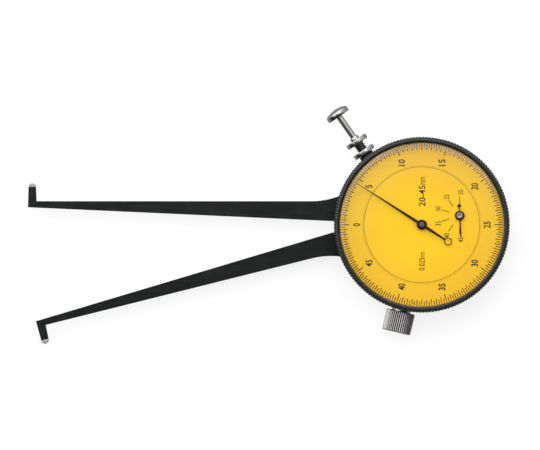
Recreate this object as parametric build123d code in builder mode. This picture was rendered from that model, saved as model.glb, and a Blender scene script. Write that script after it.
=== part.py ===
"""Inside dial caliper gauge: two long arms, a gear train, a revolution dial and a turning bezel.

The origin is on the dial's axis at the flat back. +Z points out of the dial, +X away from the
arms, and the arms lie along -X. Lengths are in millimetres and angles in degrees. The gauge is
modelled as it rests, with its spring holding the jaws open.
"""

import os
from math import acos, atan2, cos, degrees, hypot, radians, sin, tan

from build123d import *

os.makedirs("parts", exist_ok=True)

upward = (0, 0, 1)


def polar(radius, angle, centre=(0.0, 0.0)):
    """Returns the point at a radius and an angle from a centre."""
    return (
        centre[0] + radius * cos(radians(angle)),
        centre[1] + radius * sin(radians(angle)),
    )


# Readings and gear train
smallest_reading = 20.0
rest_reading = 45.45
reading_per_turn = 5.0
centre_leaves = 6
counter_teeth = 60
take_up_teeth = 30
fine_module = 1 / 3
counter_leaves = 16
sector_circle_teeth = 192
sector_module = 0.3

counter_ratio = sector_circle_teeth / counter_leaves
centre_ratio = counter_ratio * counter_teeth / centre_leaves
swing = (rest_reading - smallest_reading) / reading_per_turn * 360 / centre_ratio

# Tooth heights, in modules
wheel_addendum = 0.8
wheel_dedendum = 1.15
leaf_addendum = 0.65
leaf_dedendum = 1.2

# Flats that a small round piece is drawn with, and the flats of the clamp screw's knurled head
small_sides = 8
knob_sides = 28

# Clearances
fit_gap = 0.02
running_gap = 0.03
side_gap = 0.05
guard_gap = 0.3

# Case, from the back upwards
case_radius = 23.3
wall_thickness = 1.7
cover_thickness = 1.6
arm_floor = 3.6
arm_thickness = 3.0
bridge_lift = 0.7
bridge_thickness = 1.0
web_thickness = 1.5
dial_thickness = 0.45

wall_radius = case_radius - wall_thickness
arm_top = arm_floor + arm_thickness
arm_middle = arm_floor + arm_thickness / 2
bridge_floor = arm_top + bridge_lift
bridge_top = bridge_floor + bridge_thickness
gear_space = 1.6
web_floor = bridge_top + gear_space
web_top = web_floor + web_thickness

# Window that the arms pass through
window_foot = -13.0
window_top = 8.6
window_gap = 0.2
window_reach = 14.0

# Depth that screws bite into the web, and of the bores through the wall
web_bite = 0.6
wall_bore_depth = 6.0

# Gear train places
counter_offset = fine_module * (centre_leaves + counter_teeth) / 2
counter_angle = 13.6
counter_centre = polar(counter_offset, counter_angle)
take_up_offset = fine_module * (centre_leaves + take_up_teeth) / 2
take_up_angle = -101.5
take_up_centre = polar(take_up_offset, take_up_angle)
sector_radius = sector_module * sector_circle_teeth / 2
pivot_distance = sector_module * (sector_circle_teeth - counter_leaves) / 2
pivot_bearing = 203.62
pivot_centre = polar(pivot_distance, pivot_bearing, counter_centre)
mesh_angle = pivot_bearing - 180
sector_angle = mesh_angle + swing / 2

arbor_radius = 0.5
bush_radius = 1.2
take_up_wheel_lift = 0.25
take_up_wheel_thickness = 0.45
counter_wheel_lift = 0.9
counter_wheel_thickness = 0.5
pinion_overlap = 0.1

take_up_wheel_floor = bridge_top + take_up_wheel_lift
counter_wheel_floor = bridge_top + counter_wheel_lift

# Arms
arm_length = 94.68
arm_slope = 14.04
pivot_drop = 2.78
blade_taper = 2.6
blade_tip_depth = 1.73
jaw_width = 2.45
jaw_top_width = 2.15
jaw_height = 3.95
tip_height = 1.15
tip_shoulder = 0.45
flare_length = 7.4
flare_depth = 1.3
root_length = 9.8

# Fixed arm's root line and outer edge, and the foot of its jaw
blade_length = arm_length - root_length
fixed_root_x = -23.72
fixed_edge_y = 6.65
fixed_jaw_corner = (fixed_root_x - blade_length, fixed_edge_y)

# Fixed arm's root and its screws
root_floor = 2.7
root_ceiling = 8.2
root_end = -10.0
root_relief = 2.5
root_corner = 0.8
root_pad_width = 4.2
root_screw_xs = (-18.6, -13.0)
root_screw_y = 5.4
root_screw_radius = 1.2
root_screw_head_radius = 2.1
root_screw_head = 1.2

# Moving arm's pivot and tail
boss_radius = 5.6
pivot_radius = 2.0
pivot_thread_radius = 1.6
pivot_head_radius = 3.3
pivot_head = 1.2
tail_width = 4.6
tail_step_radius = 17.0
tail_end_radius = 22.0

# Toothed sector
sector_thickness = 1.2
sector_floor = arm_top - sector_thickness
sector_rim = 1.9
sector_rail_angle = 2.3
sector_root_half_angle = 9.5
sector_window_pitches = 8
sector_web = 1.5
sector_rivet_radius = 0.8
sector_rivet_inset = 2.5
sector_rivet_angle = 5.0

# Push rod and its bush
push_angle = 125.23
push_offset = -1.45
rod_radius = 0.9
rod_point_length = 0.4
rod_ring_radius = 1.6
rod_ring_length = 0.8
rod_ring_play = 0.9
bush_radius_outside = 1.5
bush_inset = 3.8
bush_pad_width = 5.2
push_boss_radius = 2.05
disc_radius = 3.25
nut_standoff = 2.2
nut_thickness = 1.3
cap_standoff = 3.5
cap_thickness = 1.35
cap_bite = 1.0
cap_nose_length = 0.35
cap_nose_radius = 1.3
button_radius = 3.4
button_standoff = 9.3
button_rim = 1.5
button_dome = 0.85
button_shoulder = 2.3
button_skin = 0.6

bush_inner_end = case_radius - bush_inset
nut_place = case_radius + nut_standoff
cap_place = nut_place + cap_standoff
bush_outer_end = cap_place + cap_bite
button_floor = cap_place + button_standoff

# Bezel, crystal and dials
bezel_wall = 1.54
knurl_depth = 0.34
knurl_teeth = 170
bezel_floor = 7.4
knurl_chamfer = 0.8
bezel_bore = case_radius + side_gap
crystal_thickness = 1.2
hand_space = 1.95
dial_split_inset = 7.0
dial_split_gap = 0.05
dial_lift = 0.1
mark_height = 0.02
turn_marks = 50
numbered_marks = 10
mark_inset = 0.5
unit_mark_length = 1.8
numbered_mark_length = 2.25
unit_mark_width = 0.13
numbered_mark_width = 0.2
counter_mark_count = 6
counter_mark_start = 90.0
counter_mark_range = 180.0
counter_mark_inner = 2.8
counter_mark_outer = 5.2
counter_mark_width = 0.2

bezel_radius = case_radius + bezel_wall
dial_split_radius = case_radius - dial_split_inset
mark_outer_radius = case_radius - mark_inset
unit_mark_radius = mark_outer_radius - unit_mark_length
numbered_mark_radius = mark_outer_radius - numbered_mark_length
dial_floor = web_top + dial_lift
dial_top = dial_floor + dial_thickness
crystal_floor = dial_top + hand_space
crystal_top = crystal_floor + crystal_thickness
knurl_shoulder = crystal_top - knurl_chamfer

# Hands
hand_thickness = 0.18
main_hand_lift = 1.15
main_hand_angle = 147.4
main_hand_length = 21.35
main_hand_width = 0.85
main_tip_width = 0.2
main_ring_distance = 8.8
main_ring_radius = 1.12
main_ring_wire = 0.27
main_tail_width = 0.5
main_hub_radius = 0.75
main_boss_radius = 1.45
counter_hand_lift = 0.55
counter_hand_angle = 273.3
counter_hand_length = 6.1
counter_hand_width = 0.5
counter_tip_width = 0.4
counter_tail_length = 2.8
counter_tail_width = 0.3
counter_diamond_width = 1.1
counter_diamond_length = 0.9
counter_hub_radius = 0.9
counter_boss_radius = 1.35
hub_height = 0.75
hub_skin = 0.15
hub_foot = 0.3
dial_hole_radius = 1.25

main_hand_floor = dial_top + main_hand_lift
counter_hand_floor = dial_top + counter_hand_lift

# Clamp screw
clamp_angle = 256.5
clamp_height = 4.6
knob_radius = 4.05
knob_length = 6.0
clamp_thread_radius = 1.5
clamp_thread_inset = 3.7
clamp_cone_radius = 2.65
clamp_pad_width = 5.2

clamp_thread_end = case_radius - clamp_thread_inset

# Fastenings inside
pillar_radius = 1.9
pillar_places = ((-3.0, 9.5), (8.0, -13.5), (-9.5, -1.5))
bridge_margin = 3.0
bridge_screw_radius = 0.8
bridge_screw_head_radius = 1.4
bridge_screw_head = 0.5
cover_screw_inset = 2.2
cover_screw_count = 4
cover_screw_start = 55.0
cover_screw_radius = 0.9
cover_screw_head_radius = 1.8
cover_screw_head = 0.9
cover_screw_depth = 5.0
stop_pin_radius = 0.75
stop_pin_reach = 19.0

cover_screw_circle = wall_radius - cover_screw_inset

# Screw slots
slot_width = 0.5
slot_depth = 0.4

# Springs
spring_post_centre = (6.0, -15.0)
spring_post_radius = 1.2
spring_strip = 0.4
spring_height = 1.4
spring_lift = 0.2
spring_floor = arm_floor + spring_lift
spring_coil_gap = 0.1
spring_tail_reach = 14.0
spring_anchor_turn = 180.0
spring_anchor_angle = 40.0
hairspring_turns = 3
hairspring_strip = 0.12
hairspring_height = 0.45
hairspring_inner = 1.0
hairspring_outer = 3.9
hairspring_stud_radius = 0.4


def tangent_angle(point, centre, radius, side):
    """Returns the angle on a circle where the line from a point outside touches it."""
    gap_x, gap_y = point[0] - centre[0], point[1] - centre[1]
    return degrees(atan2(gap_y, gap_x) + side * acos(radius / hypot(gap_x, gap_y)))


def ring_sector(plane, inner, outer, half_angle):
    """Returns a sketch of a ring sector about the plane's X direction."""
    with BuildSketch(plane) as sketch:
        with BuildLine():
            CenterArc((0, 0), outer, -half_angle, 2 * half_angle)
            CenterArc((0, 0), inner, -half_angle, 2 * half_angle)
            Line(polar(inner, -half_angle), polar(outer, -half_angle))
            Line(polar(inner, half_angle), polar(outer, half_angle))
        make_face()
    return sketch.sketch


def tooth_ring(teeth, steps, phase=0.0):
    """Returns a closed outline's points, where each tooth repeats the same radius and angle steps.

    Each step is a radius and a place in the tooth's pitch, from -0.5 to 0.5 about its middle.
    """
    pitch = 360 / teeth
    return [
        polar(radius, phase + (index + place) * pitch)
        for index in range(teeth)
        for radius, place in steps
    ]


def pointed_wheel(plane, teeth, module, phase):
    """Returns a fine wheel's sketch with pointed teeth, one at the phase, bored for its arbor."""
    radius = module * teeth / 2
    steps = ((radius - wheel_dedendum * module, -0.5), (radius + wheel_addendum * module, 0.0))
    with BuildSketch(plane) as sketch:
        with BuildLine():
            Polyline(*tooth_ring(teeth, steps, phase), close=True)
        make_face()
        RegularPolygon(arbor_radius + fit_gap, small_sides, major_radius=False, mode=Mode.SUBTRACT)
    return sketch.sketch


def leaf_pinion(plane, leaves, module, phase):
    """Returns a small pinion's sketch with narrow straight leaves, one of them at the phase."""
    radius = module * leaves / 2
    root = radius - leaf_dedendum * module
    tip = radius + leaf_addendum * module
    steps = ((root, -0.28), (tip, -0.08), (tip, 0.08), (root, 0.28))
    with BuildSketch(plane) as sketch:
        with BuildLine():
            Polyline(*tooth_ring(leaves, steps, phase), close=True)
        make_face()
    return sketch.sketch


# Sector and arm sizes that follow from the driving ones
sector_root = sector_radius + leaf_dedendum * sector_module
window_near = pivot_distance - sector_module * (counter_leaves / 2 + 1) - guard_gap
blade_depth = blade_tip_depth + (blade_length + jaw_width) * tan(radians(blade_taper))

# Axes and planes of the pieces that lie across the case
push_outward = Vector(*polar(1, push_angle))
push_across = Vector(*polar(1, push_angle - 90))
push_origin = push_across * push_offset + Vector(0, 0, arm_middle)
push_plane = Plane(origin=push_origin, x_dir=push_across, z_dir=push_across.cross(push_outward))
push_axis = Axis(push_origin, push_outward)
push_lever = abs(Vector(*pivot_centre).dot(push_across) - push_offset)
push_foot = Vector(*pivot_centre).dot(push_outward)
rod_end = push_foot + push_lever * tan(radians(swing / 2)) + running_gap
push_flat_angle = push_angle - 90 + swing / 2

clamp_outward = Vector(*polar(1, clamp_angle))
clamp_across = Vector(*polar(1, clamp_angle - 90))
clamp_origin = Vector(0, 0, clamp_height)
knob_start = bezel_radius + guard_gap

fixed_plane = Plane(origin=(*fixed_jaw_corner, arm_floor), x_dir=(1, 0, 0), z_dir=(0, 0, 1))
along = Vector(*polar(1, arm_slope))
outward = Vector(*polar(1, arm_slope - 90))
moving_corner = Vector(*pivot_centre) - along * arm_length - outward * pivot_drop
moving_plane = Plane(origin=moving_corner + Vector(0, 0, arm_floor), x_dir=along, z_dir=(0, 0, -1))
pivot_plane = Plane(
    origin=(*pivot_centre, arm_floor), x_dir=polar(1, sector_angle) + (0,), z_dir=upward
)


def arm_blade(plane):
    """Returns the sketch of an arm's blade and jaw, its outer edge on the plane's X axis.

    The plane's origin is at the foot of the jaw's inner face.
    """
    with BuildSketch(plane) as sketch:
        with BuildLine():
            Polyline(
                (blade_length, flare_depth),
                (blade_length, -blade_depth),
                (-jaw_width, -blade_tip_depth),
                (-(jaw_width + jaw_top_width) / 2, jaw_height),
                (-(jaw_width - jaw_top_width) / 2, jaw_height),
                (0, 0),
                (blade_length - flare_length, 0),
            )
            TangentArc((blade_length - flare_length, 0), (blade_length, flare_depth), tangent=(1, 0))
        make_face()
    return sketch.sketch


def contact_tip(plane):
    """Returns the sketch of the hard tip on a jaw's end, seen along the pivot's axis."""
    left = -(jaw_width + jaw_top_width) / 2
    right = -(jaw_width - jaw_top_width) / 2
    shoulder = jaw_height + tip_shoulder
    with BuildSketch(plane) as sketch:
        with BuildLine():
            Line((left, jaw_height), (right, jaw_height))
            Line((right, jaw_height), (right, shoulder))
            crown = ((left + right) / 2, jaw_height + tip_height)
            ThreePointArc((right, shoulder), crown, (left, shoulder))
            Line((left, shoulder), (left, jaw_height))
        make_face()
    return sketch.sketch


def tail_outline(plane, reach):
    """Returns the sketch of the moving arm's tail from the pivot out to a radius.

    Its upper edge is the flat that the push rod presses, on a line through the pivot.
    """
    flat_angle = push_flat_angle - sector_angle
    corner_x = (reach**2 - tail_width**2) ** 0.5
    corner_angle = degrees(atan2(-tail_width, corner_x))
    with BuildSketch(plane) as sketch:
        with BuildLine():
            Line((0, 0), polar(reach, flat_angle))
            CenterArc((0, 0), reach, corner_angle, flat_angle - corner_angle)
            Line((corner_x, -tail_width), (0, -tail_width))
            Line((0, -tail_width), (0, 0))
        make_face()
    return sketch.sketch


def sector_window(plane):
    """Returns the sketch of the sector's window, with the sector's teeth along its far edge."""
    pitch = 360 / sector_circle_teeth
    tip = sector_radius - leaf_addendum * sector_module
    last = sector_window_pitches
    teeth = [
        polar(radius, (index + place) * pitch)
        for index in range(-last, last)
        for radius, place in ((sector_root, 0.16), (tip, 0.38), (tip, 0.62), (sector_root, 0.84))
    ]
    with BuildSketch(plane) as sketch:
        with BuildLine():
            Polyline(
                polar(window_near, -last * pitch),
                polar(sector_root, -last * pitch),
                *teeth,
                polar(sector_root, last * pitch),
                polar(window_near, last * pitch),
            )
            CenterArc((0, 0), window_near, -last * pitch, 2 * last * pitch)
        make_face()
    return sketch.sketch


def prism(plane, centre, radius, height):
    """Adds an upright round piece, drawn with flats, to the part that is being built."""
    with BuildSketch(plane) as outline:
        with Locations(centre):
            RegularPolygon(radius, small_sides)
    extrude(outline.sketch, amount=height, dir=upward)


def bore(plane, centres, radius, depth, way=1):
    """Cuts holes, drawn with flats that clear a round piece of the radius, along the plane's normal."""
    with BuildSketch(plane) as outline:
        with Locations(*centres):
            RegularPolygon(radius, small_sides, major_radius=False)
    extrude(outline.sketch, amount=depth, dir=plane.z_dir * way, mode=Mode.SUBTRACT)


def turned(plane, points):
    """Returns the half section of a turned piece, with the plane's Y direction as its axis."""
    with BuildSketch(plane) as sketch:
        with BuildLine():
            Polyline(*points, close=True)
        make_face()
    return sketch.sketch


# Case body, with its web, bosses and neck under the push rod's nut, and the window that the arms
# pass through
cover_screw_places = [
    polar(cover_screw_circle, cover_screw_start + index * 360 / cover_screw_count)
    for index in range(cover_screw_count)
]
root_screw_places = [(x, root_screw_y) for x in root_screw_xs]
bearing_places = ((0, 0), counter_centre, take_up_centre)
push_cross_plane = Plane(push_origin, x_dir=push_across, z_dir=push_outward)
clamp_cross_plane = Plane(clamp_origin, x_dir=clamp_across, z_dir=clamp_outward)
pad_end = wall_radius + wall_thickness / 2
with BuildPart() as case_body:
    add(
        turned(
            Plane.XZ,
            (
                (0, web_floor),
                (wall_radius, web_floor),
                (wall_radius, 0),
                (case_radius, 0),
                (case_radius, web_top),
                (0, web_top),
            ),
        )
    )
    revolve(axis=Axis.Z)
    prism(Plane.XY.offset(arm_top + side_gap), pivot_centre, pivot_head_radius, web_floor - arm_top)
    with BuildSketch(Plane.XY.offset(arm_top)):
        with Locations((sum(root_screw_xs) / 2, root_screw_y)):
            Rectangle(root_screw_xs[1] - root_screw_xs[0] + root_pad_width, root_pad_width)
    extrude(amount=web_floor - arm_top)
    for place in pillar_places:
        prism(Plane.XY.offset(bridge_top), place, pillar_radius, gear_space)
    for place in cover_screw_places:
        prism(Plane.XY.offset(cover_thickness), place, pillar_radius, web_floor - cover_thickness)
    with BuildSketch(push_cross_plane.offset(bush_inner_end + guard_gap)):
        Rectangle(bush_pad_width, bush_pad_width)
    extrude(amount=pad_end - bush_inner_end - guard_gap)
    with BuildSketch(push_cross_plane.offset(pad_end)):
        RegularPolygon(push_boss_radius, small_sides)
    extrude(amount=nut_place - side_gap - pad_end)
    with BuildSketch(clamp_cross_plane.offset(clamp_thread_end + guard_gap)):
        Rectangle(clamp_pad_width, clamp_pad_width)
    extrude(amount=pad_end - clamp_thread_end - guard_gap)
    with BuildSketch(Plane.XY.offset(arm_floor - window_gap)):
        with Locations((-case_radius, (window_top + window_foot) / 2)):
            Rectangle(window_reach, window_top - window_foot)
    extrude(amount=arm_thickness + 2 * window_gap, mode=Mode.SUBTRACT)
    bore(Plane.XY.offset(web_floor), bearing_places, bush_radius + fit_gap, web_thickness)
    bore(
        push_cross_plane.offset(bush_inner_end),
        ((0, 0),),
        bush_radius_outside + fit_gap,
        wall_bore_depth,
    )
    bore(
        clamp_cross_plane.offset(clamp_thread_end),
        ((0, 0),),
        clamp_thread_radius + running_gap,
        wall_bore_depth,
    )
    bore(Plane.XY.offset(arm_top), (pivot_centre,), pivot_thread_radius, web_floor - arm_top + web_bite)
    bore(
        Plane.XY.offset(arm_top),
        root_screw_places,
        root_screw_radius + fit_gap,
        web_floor - arm_top + web_bite,
    )
    bore(Plane.XY.offset(bridge_top), pillar_places, bridge_screw_radius + fit_gap, gear_space + web_bite)
    bore(
        Plane.XY.offset(cover_thickness),
        cover_screw_places,
        cover_screw_radius + fit_gap,
        cover_screw_depth,
    )
case_body.part.label = "case_body"
export_step(case_body.part, "parts/case_body.step")


def counterbore(plane, centres, radius, head_radius, head, depth):
    """Cuts through holes with a counterbore at the plane, the plane facing out of the plate."""
    bore(plane, centres, radius, depth, way=-1)
    bore(plane, centres, head_radius, head, way=-1)


def headed_screws(plane, centres, radius, head_radius, head, length):
    """Adds screws with flat round heads at the plane, driven against its normal."""
    for size, reach in ((head_radius, head), (radius, length)):
        with BuildSketch(plane) as outline:
            with Locations(*centres):
                RegularPolygon(size, small_sides)
        extrude(outline.sketch, amount=-reach)


def seen_from_behind(places):
    """Returns places mirrored for a plane that faces down with the same X direction."""
    return [(x, -y) for x, y in places]


# Back cover
back_plane = Plane(origin=(0, 0, 0), x_dir=(1, 0, 0), z_dir=(0, 0, -1))
with BuildPart() as back_cover:
    with BuildSketch():
        Circle(wall_radius - side_gap)
    extrude(amount=cover_thickness)
    bore(Plane.XY, (spring_post_centre,), spring_post_radius + fit_gap, cover_thickness)
    counterbore(
        back_plane,
        seen_from_behind(cover_screw_places),
        cover_screw_radius + side_gap,
        cover_screw_head_radius + side_gap,
        cover_screw_head + side_gap,
        cover_thickness,
    )
back_cover.part.label = "back_cover"
export_step(back_cover.part, "parts/back_cover.step")

# Back cover screws
with BuildPart() as back_cover_screws:
    headed_screws(
        back_plane.offset(-side_gap),
        seen_from_behind(cover_screw_places),
        cover_screw_radius,
        cover_screw_head_radius,
        cover_screw_head,
        cover_thickness + cover_screw_depth - 2 * side_gap,
    )
    with BuildSketch(back_plane.offset(-side_gap)):
        with Locations(*seen_from_behind(cover_screw_places)):
            Rectangle(2 * cover_screw_head_radius, slot_width)
    extrude(amount=-slot_depth, mode=Mode.SUBTRACT)
back_cover_screws.part.label = "back_cover_screws"
export_step(back_cover_screws.part, "parts/back_cover_screws.step")

# Fixed arm
arm_back_plane = back_plane.offset(-arm_floor)
with BuildPart() as fixed_arm:
    add(arm_blade(fixed_plane))
    extrude(amount=arm_thickness, dir=upward)
    with BuildSketch(Plane.XY.offset(arm_floor)):
        with BuildLine():
            Polyline(
                (fixed_root_x - fit_gap, fixed_jaw_corner[1] - blade_depth),
                (fixed_root_x + root_relief, root_floor),
                (root_end - root_corner, root_floor),
                (root_end, root_floor + root_corner),
                (root_end, root_ceiling - root_corner),
                (root_end - root_corner, root_ceiling),
                (fixed_root_x + root_relief, root_ceiling),
                (fixed_root_x - fit_gap, fixed_jaw_corner[1] + flare_depth),
                close=True,
            )
        make_face()
    extrude(amount=arm_thickness)
    counterbore(
        arm_back_plane,
        seen_from_behind(root_screw_places),
        root_screw_radius + side_gap,
        root_screw_head_radius + side_gap,
        root_screw_head + side_gap,
        arm_thickness,
    )
fixed_arm.part.label = "fixed_arm"
export_step(fixed_arm.part, "parts/fixed_arm.step")

# Fixed arm's screws
with BuildPart() as fixed_arm_screws:
    headed_screws(
        arm_back_plane.offset(-side_gap),
        seen_from_behind(root_screw_places),
        root_screw_radius,
        root_screw_head_radius,
        root_screw_head,
        web_floor - arm_floor + web_bite - 2 * side_gap,
    )
fixed_arm_screws.part.label = "fixed_arm_screws"
export_step(fixed_arm_screws.part, "parts/fixed_arm_screws.step")

# Hard contact tips
with BuildPart() as fixed_contact_tip:
    add(contact_tip(fixed_plane))
    extrude(amount=arm_thickness, dir=upward)
fixed_contact_tip.part.label = "fixed_contact_tip"
export_step(fixed_contact_tip.part, "parts/fixed_contact_tip.step")

with BuildPart() as moving_contact_tip:
    add(contact_tip(moving_plane))
    extrude(amount=arm_thickness, dir=upward)
moving_contact_tip.part.label = "moving_contact_tip"
export_step(moving_contact_tip.part, "parts/moving_contact_tip.step")

# Moving arm, with its pivot boss and the tail that carries the sector
rivet_places = [
    polar(tail_step_radius + sector_rivet_inset, side * sector_rivet_angle) for side in (-1, 1)
]
with BuildPart() as moving_arm:
    add(arm_blade(moving_plane))
    extrude(amount=arm_thickness, dir=upward)
    with BuildSketch(moving_plane):
        with BuildLine():
            Line((blade_length - fit_gap, flare_depth), (blade_length - fit_gap, -blade_depth))
        with Locations((arm_length, pivot_drop)):
            Circle(boss_radius)
        make_hull()
    extrude(amount=arm_thickness, dir=upward)
    add(tail_outline(pivot_plane, tail_end_radius))
    extrude(amount=sector_floor - arm_floor)
    add(tail_outline(pivot_plane, tail_step_radius))
    extrude(amount=arm_thickness)
    with BuildSketch(pivot_plane):
        Circle(pivot_radius + running_gap)
    extrude(amount=arm_thickness, mode=Mode.SUBTRACT)
    bore(pivot_plane, rivet_places, sector_rivet_radius + fit_gap, arm_thickness)
moving_arm.part.label = "moving_arm"
export_step(moving_arm.part, "parts/moving_arm.step")

# Shouldered pivot screw
with BuildPart() as pivot_screw:
    prism(pivot_plane.offset(-side_gap - pivot_head), (0, 0), pivot_head_radius, pivot_head)
    with BuildSketch(pivot_plane.offset(-side_gap)):
        Circle(pivot_radius)
    extrude(amount=arm_thickness + 2 * side_gap)
    prism(
        pivot_plane.offset(arm_thickness),
        (0, 0),
        pivot_thread_radius - fit_gap,
        web_floor - arm_top + web_bite - side_gap,
    )
pivot_screw.part.label = "pivot_screw"
export_step(pivot_screw.part, "parts/pivot_screw.step")

# Toothed sector, an open brass frame with inward teeth, riveted on the arm's tail
frame_half_angle = sector_window_pitches * 360 / sector_circle_teeth + sector_rail_angle
frame_inner = window_near - sector_web
frame_outer = sector_root + sector_rim
sector_plane = pivot_plane.offset(sector_floor - arm_floor)
with BuildPart() as gear_sector:
    add(ring_sector(sector_plane, frame_inner, frame_outer, frame_half_angle))
    extrude(amount=sector_thickness)
    add(
        ring_sector(
            sector_plane,
            tail_step_radius + side_gap,
            frame_inner + sector_web / 2,
            sector_root_half_angle,
        )
    )
    extrude(amount=sector_thickness)
    add(sector_window(sector_plane))
    extrude(amount=sector_thickness, mode=Mode.SUBTRACT)
    bore(sector_plane, rivet_places, sector_rivet_radius + fit_gap, sector_thickness)
gear_sector.part.label = "gear_sector"
export_step(gear_sector.part, "parts/gear_sector.step")

with BuildPart() as sector_rivets:
    for place in rivet_places:
        prism(pivot_plane.offset(fit_gap), place, sector_rivet_radius, arm_thickness - 2 * fit_gap)
sector_rivets.part.label = "sector_rivets"
export_step(sector_rivets.part, "parts/sector_rivets.step")

# Bridge plate, the lower plate of the gear train, and its screws
stop_reach = stop_pin_radius + running_gap
flat_direction = push_flat_angle - sector_angle
opening_stop = pivot_plane.from_local_coords(
    Vector(*polar(stop_pin_reach, flat_direction)) + Vector(*polar(stop_reach, flat_direction + 90))
)
closed_plane = pivot_plane.rotated((0, 0, -swing))
closing_stop = closed_plane.from_local_coords((stop_pin_reach, -tail_width - stop_reach, 0))
stop_places = [(place.X, place.Y) for place in (opening_stop, closing_stop)]
with BuildPart() as bridge_plate:
    with BuildSketch(Plane.XY.offset(bridge_floor)):
        with Locations(*pillar_places, counter_centre):
            RegularPolygon(bridge_margin, small_sides)
        make_hull()
    extrude(amount=bridge_thickness)
    bore(Plane.XY.offset(bridge_floor), bearing_places, arbor_radius + running_gap, bridge_thickness)
    bore(Plane.XY.offset(bridge_floor), stop_places, stop_pin_radius + fit_gap, bridge_thickness)
    counterbore(
        back_plane.offset(-bridge_floor),
        seen_from_behind(pillar_places),
        bridge_screw_radius + side_gap,
        bridge_screw_head_radius + side_gap,
        bridge_screw_head + side_gap,
        bridge_thickness,
    )
bridge_plate.part.label = "bridge_plate"
export_step(bridge_plate.part, "parts/bridge_plate.step")

with BuildPart() as bridge_screws:
    headed_screws(
        back_plane.offset(-bridge_floor - side_gap),
        seen_from_behind(pillar_places),
        bridge_screw_radius,
        bridge_screw_head_radius,
        bridge_screw_head,
        bridge_thickness + gear_space + web_bite - 2 * side_gap,
    )
bridge_screws.part.label = "bridge_screws"
export_step(bridge_screws.part, "parts/bridge_screws.step")

# Bearing bushes in the web
with BuildPart() as web_bushes:
    for place in bearing_places:
        prism(Plane.XY.offset(web_floor), place, bush_radius, web_thickness)
    bore(Plane.XY.offset(web_floor), bearing_places, arbor_radius + running_gap, web_thickness)
web_bushes.part.label = "web_bushes"
export_step(web_bushes.part, "parts/web_bushes.step")

# Stop pins pressed in the bridge plate, one for each end of the arm's swing
with BuildPart() as arm_stop_pins:
    for place in stop_places:
        prism(
            Plane.XY.offset(arm_floor + guard_gap),
            place,
            stop_pin_radius,
            bridge_top - arm_floor - guard_gap,
        )
arm_stop_pins.part.label = "arm_stop_pins"
export_step(arm_stop_pins.part, "parts/arm_stop_pins.step")

# Post in the back cover, and the hairpin spring that is looped on it and opens the jaws
with BuildPart() as spring_post:
    prism(
        Plane.XY.offset(side_gap),
        spring_post_centre,
        spring_post_radius,
        spring_floor + spring_height + side_gap,
    )
spring_post.part.label = "spring_post"
export_step(spring_post.part, "parts/spring_post.step")

coil_radius = spring_post_radius + spring_coil_gap + spring_strip / 2
leg_gap = spring_strip / 2 + running_gap
tail_contact = pivot_plane.from_local_coords((spring_tail_reach, -tail_width - leg_gap, 0))
anchor_boss = polar(cover_screw_circle, cover_screw_start + spring_anchor_turn)
anchor = polar(pillar_radius + leg_gap, spring_anchor_angle, anchor_boss)
first_angle = tangent_angle((tail_contact.X, tail_contact.Y), spring_post_centre, coil_radius, -1)
last_angle = tangent_angle(anchor, spring_post_centre, coil_radius, 1)
coil_turn = (last_angle - first_angle) % 360 - 360
with BuildPart() as return_spring:
    with BuildSketch(Plane.XY.offset(spring_floor)):
        with BuildLine():
            Line((tail_contact.X, tail_contact.Y), polar(coil_radius, first_angle, spring_post_centre))
            CenterArc(spring_post_centre, coil_radius, first_angle, coil_turn)
            Line(polar(coil_radius, last_angle, spring_post_centre), anchor)
        trace(line_width=spring_strip)
    extrude(amount=spring_height)
return_spring.part.label = "return_spring"
export_step(return_spring.part, "parts/return_spring.step")

# Push rod, its button and the ring that keeps it in
button_top = button_floor + button_rim + button_dome
rod_top = button_top - button_skin
with BuildPart() as push_rod:
    add(
        turned(
            push_plane,
            ((0, rod_end), (rod_radius, rod_end + rod_point_length), (rod_radius, rod_top), (0, rod_top)),
        )
    )
    revolve(axis=push_axis)
push_rod.part.label = "push_rod"
export_step(push_rod.part, "parts/push_rod.step")

with BuildPart() as push_button:
    add(
        turned(
            push_plane,
            (
                (0, button_floor),
                (button_radius, button_floor),
                (button_radius, button_floor + button_rim),
                (button_shoulder, button_top),
                (0, button_top),
            ),
        )
    )
    revolve(axis=push_axis)
    bore(
        push_cross_plane.offset(button_floor),
        ((0, 0),),
        rod_radius + fit_gap,
        rod_top - button_floor + fit_gap,
    )
push_button.part.label = "push_button"
export_step(push_button.part, "parts/push_button.step")

with BuildPart() as rod_ring:
    with BuildSketch(push_cross_plane.offset(bush_inner_end - rod_ring_play - rod_ring_length)):
        RegularPolygon(rod_ring_radius, small_sides)
        RegularPolygon(rod_radius + fit_gap, small_sides, major_radius=False, mode=Mode.SUBTRACT)
    extrude(amount=rod_ring_length)
rod_ring.part.label = "rod_ring"
export_step(rod_ring.part, "parts/rod_ring.step")

# Guide bush of the push rod, with its flat nut and its cap
with BuildPart() as guide_bush:
    with BuildSketch(push_cross_plane.offset(bush_inner_end)):
        Circle(bush_radius_outside)
        RegularPolygon(rod_radius + running_gap, small_sides, major_radius=False, mode=Mode.SUBTRACT)
    extrude(amount=bush_outer_end - bush_inner_end)
guide_bush.part.label = "guide_bush"
export_step(guide_bush.part, "parts/guide_bush.step")

with BuildPart() as bush_nut:
    with BuildSketch(push_cross_plane.offset(nut_place)):
        Circle(disc_radius)
        RegularPolygon(
            bush_radius_outside + fit_gap, small_sides, major_radius=False, mode=Mode.SUBTRACT
        )
    extrude(amount=nut_thickness)
bush_nut.part.label = "bush_nut"
export_step(bush_nut.part, "parts/bush_nut.step")

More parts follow.
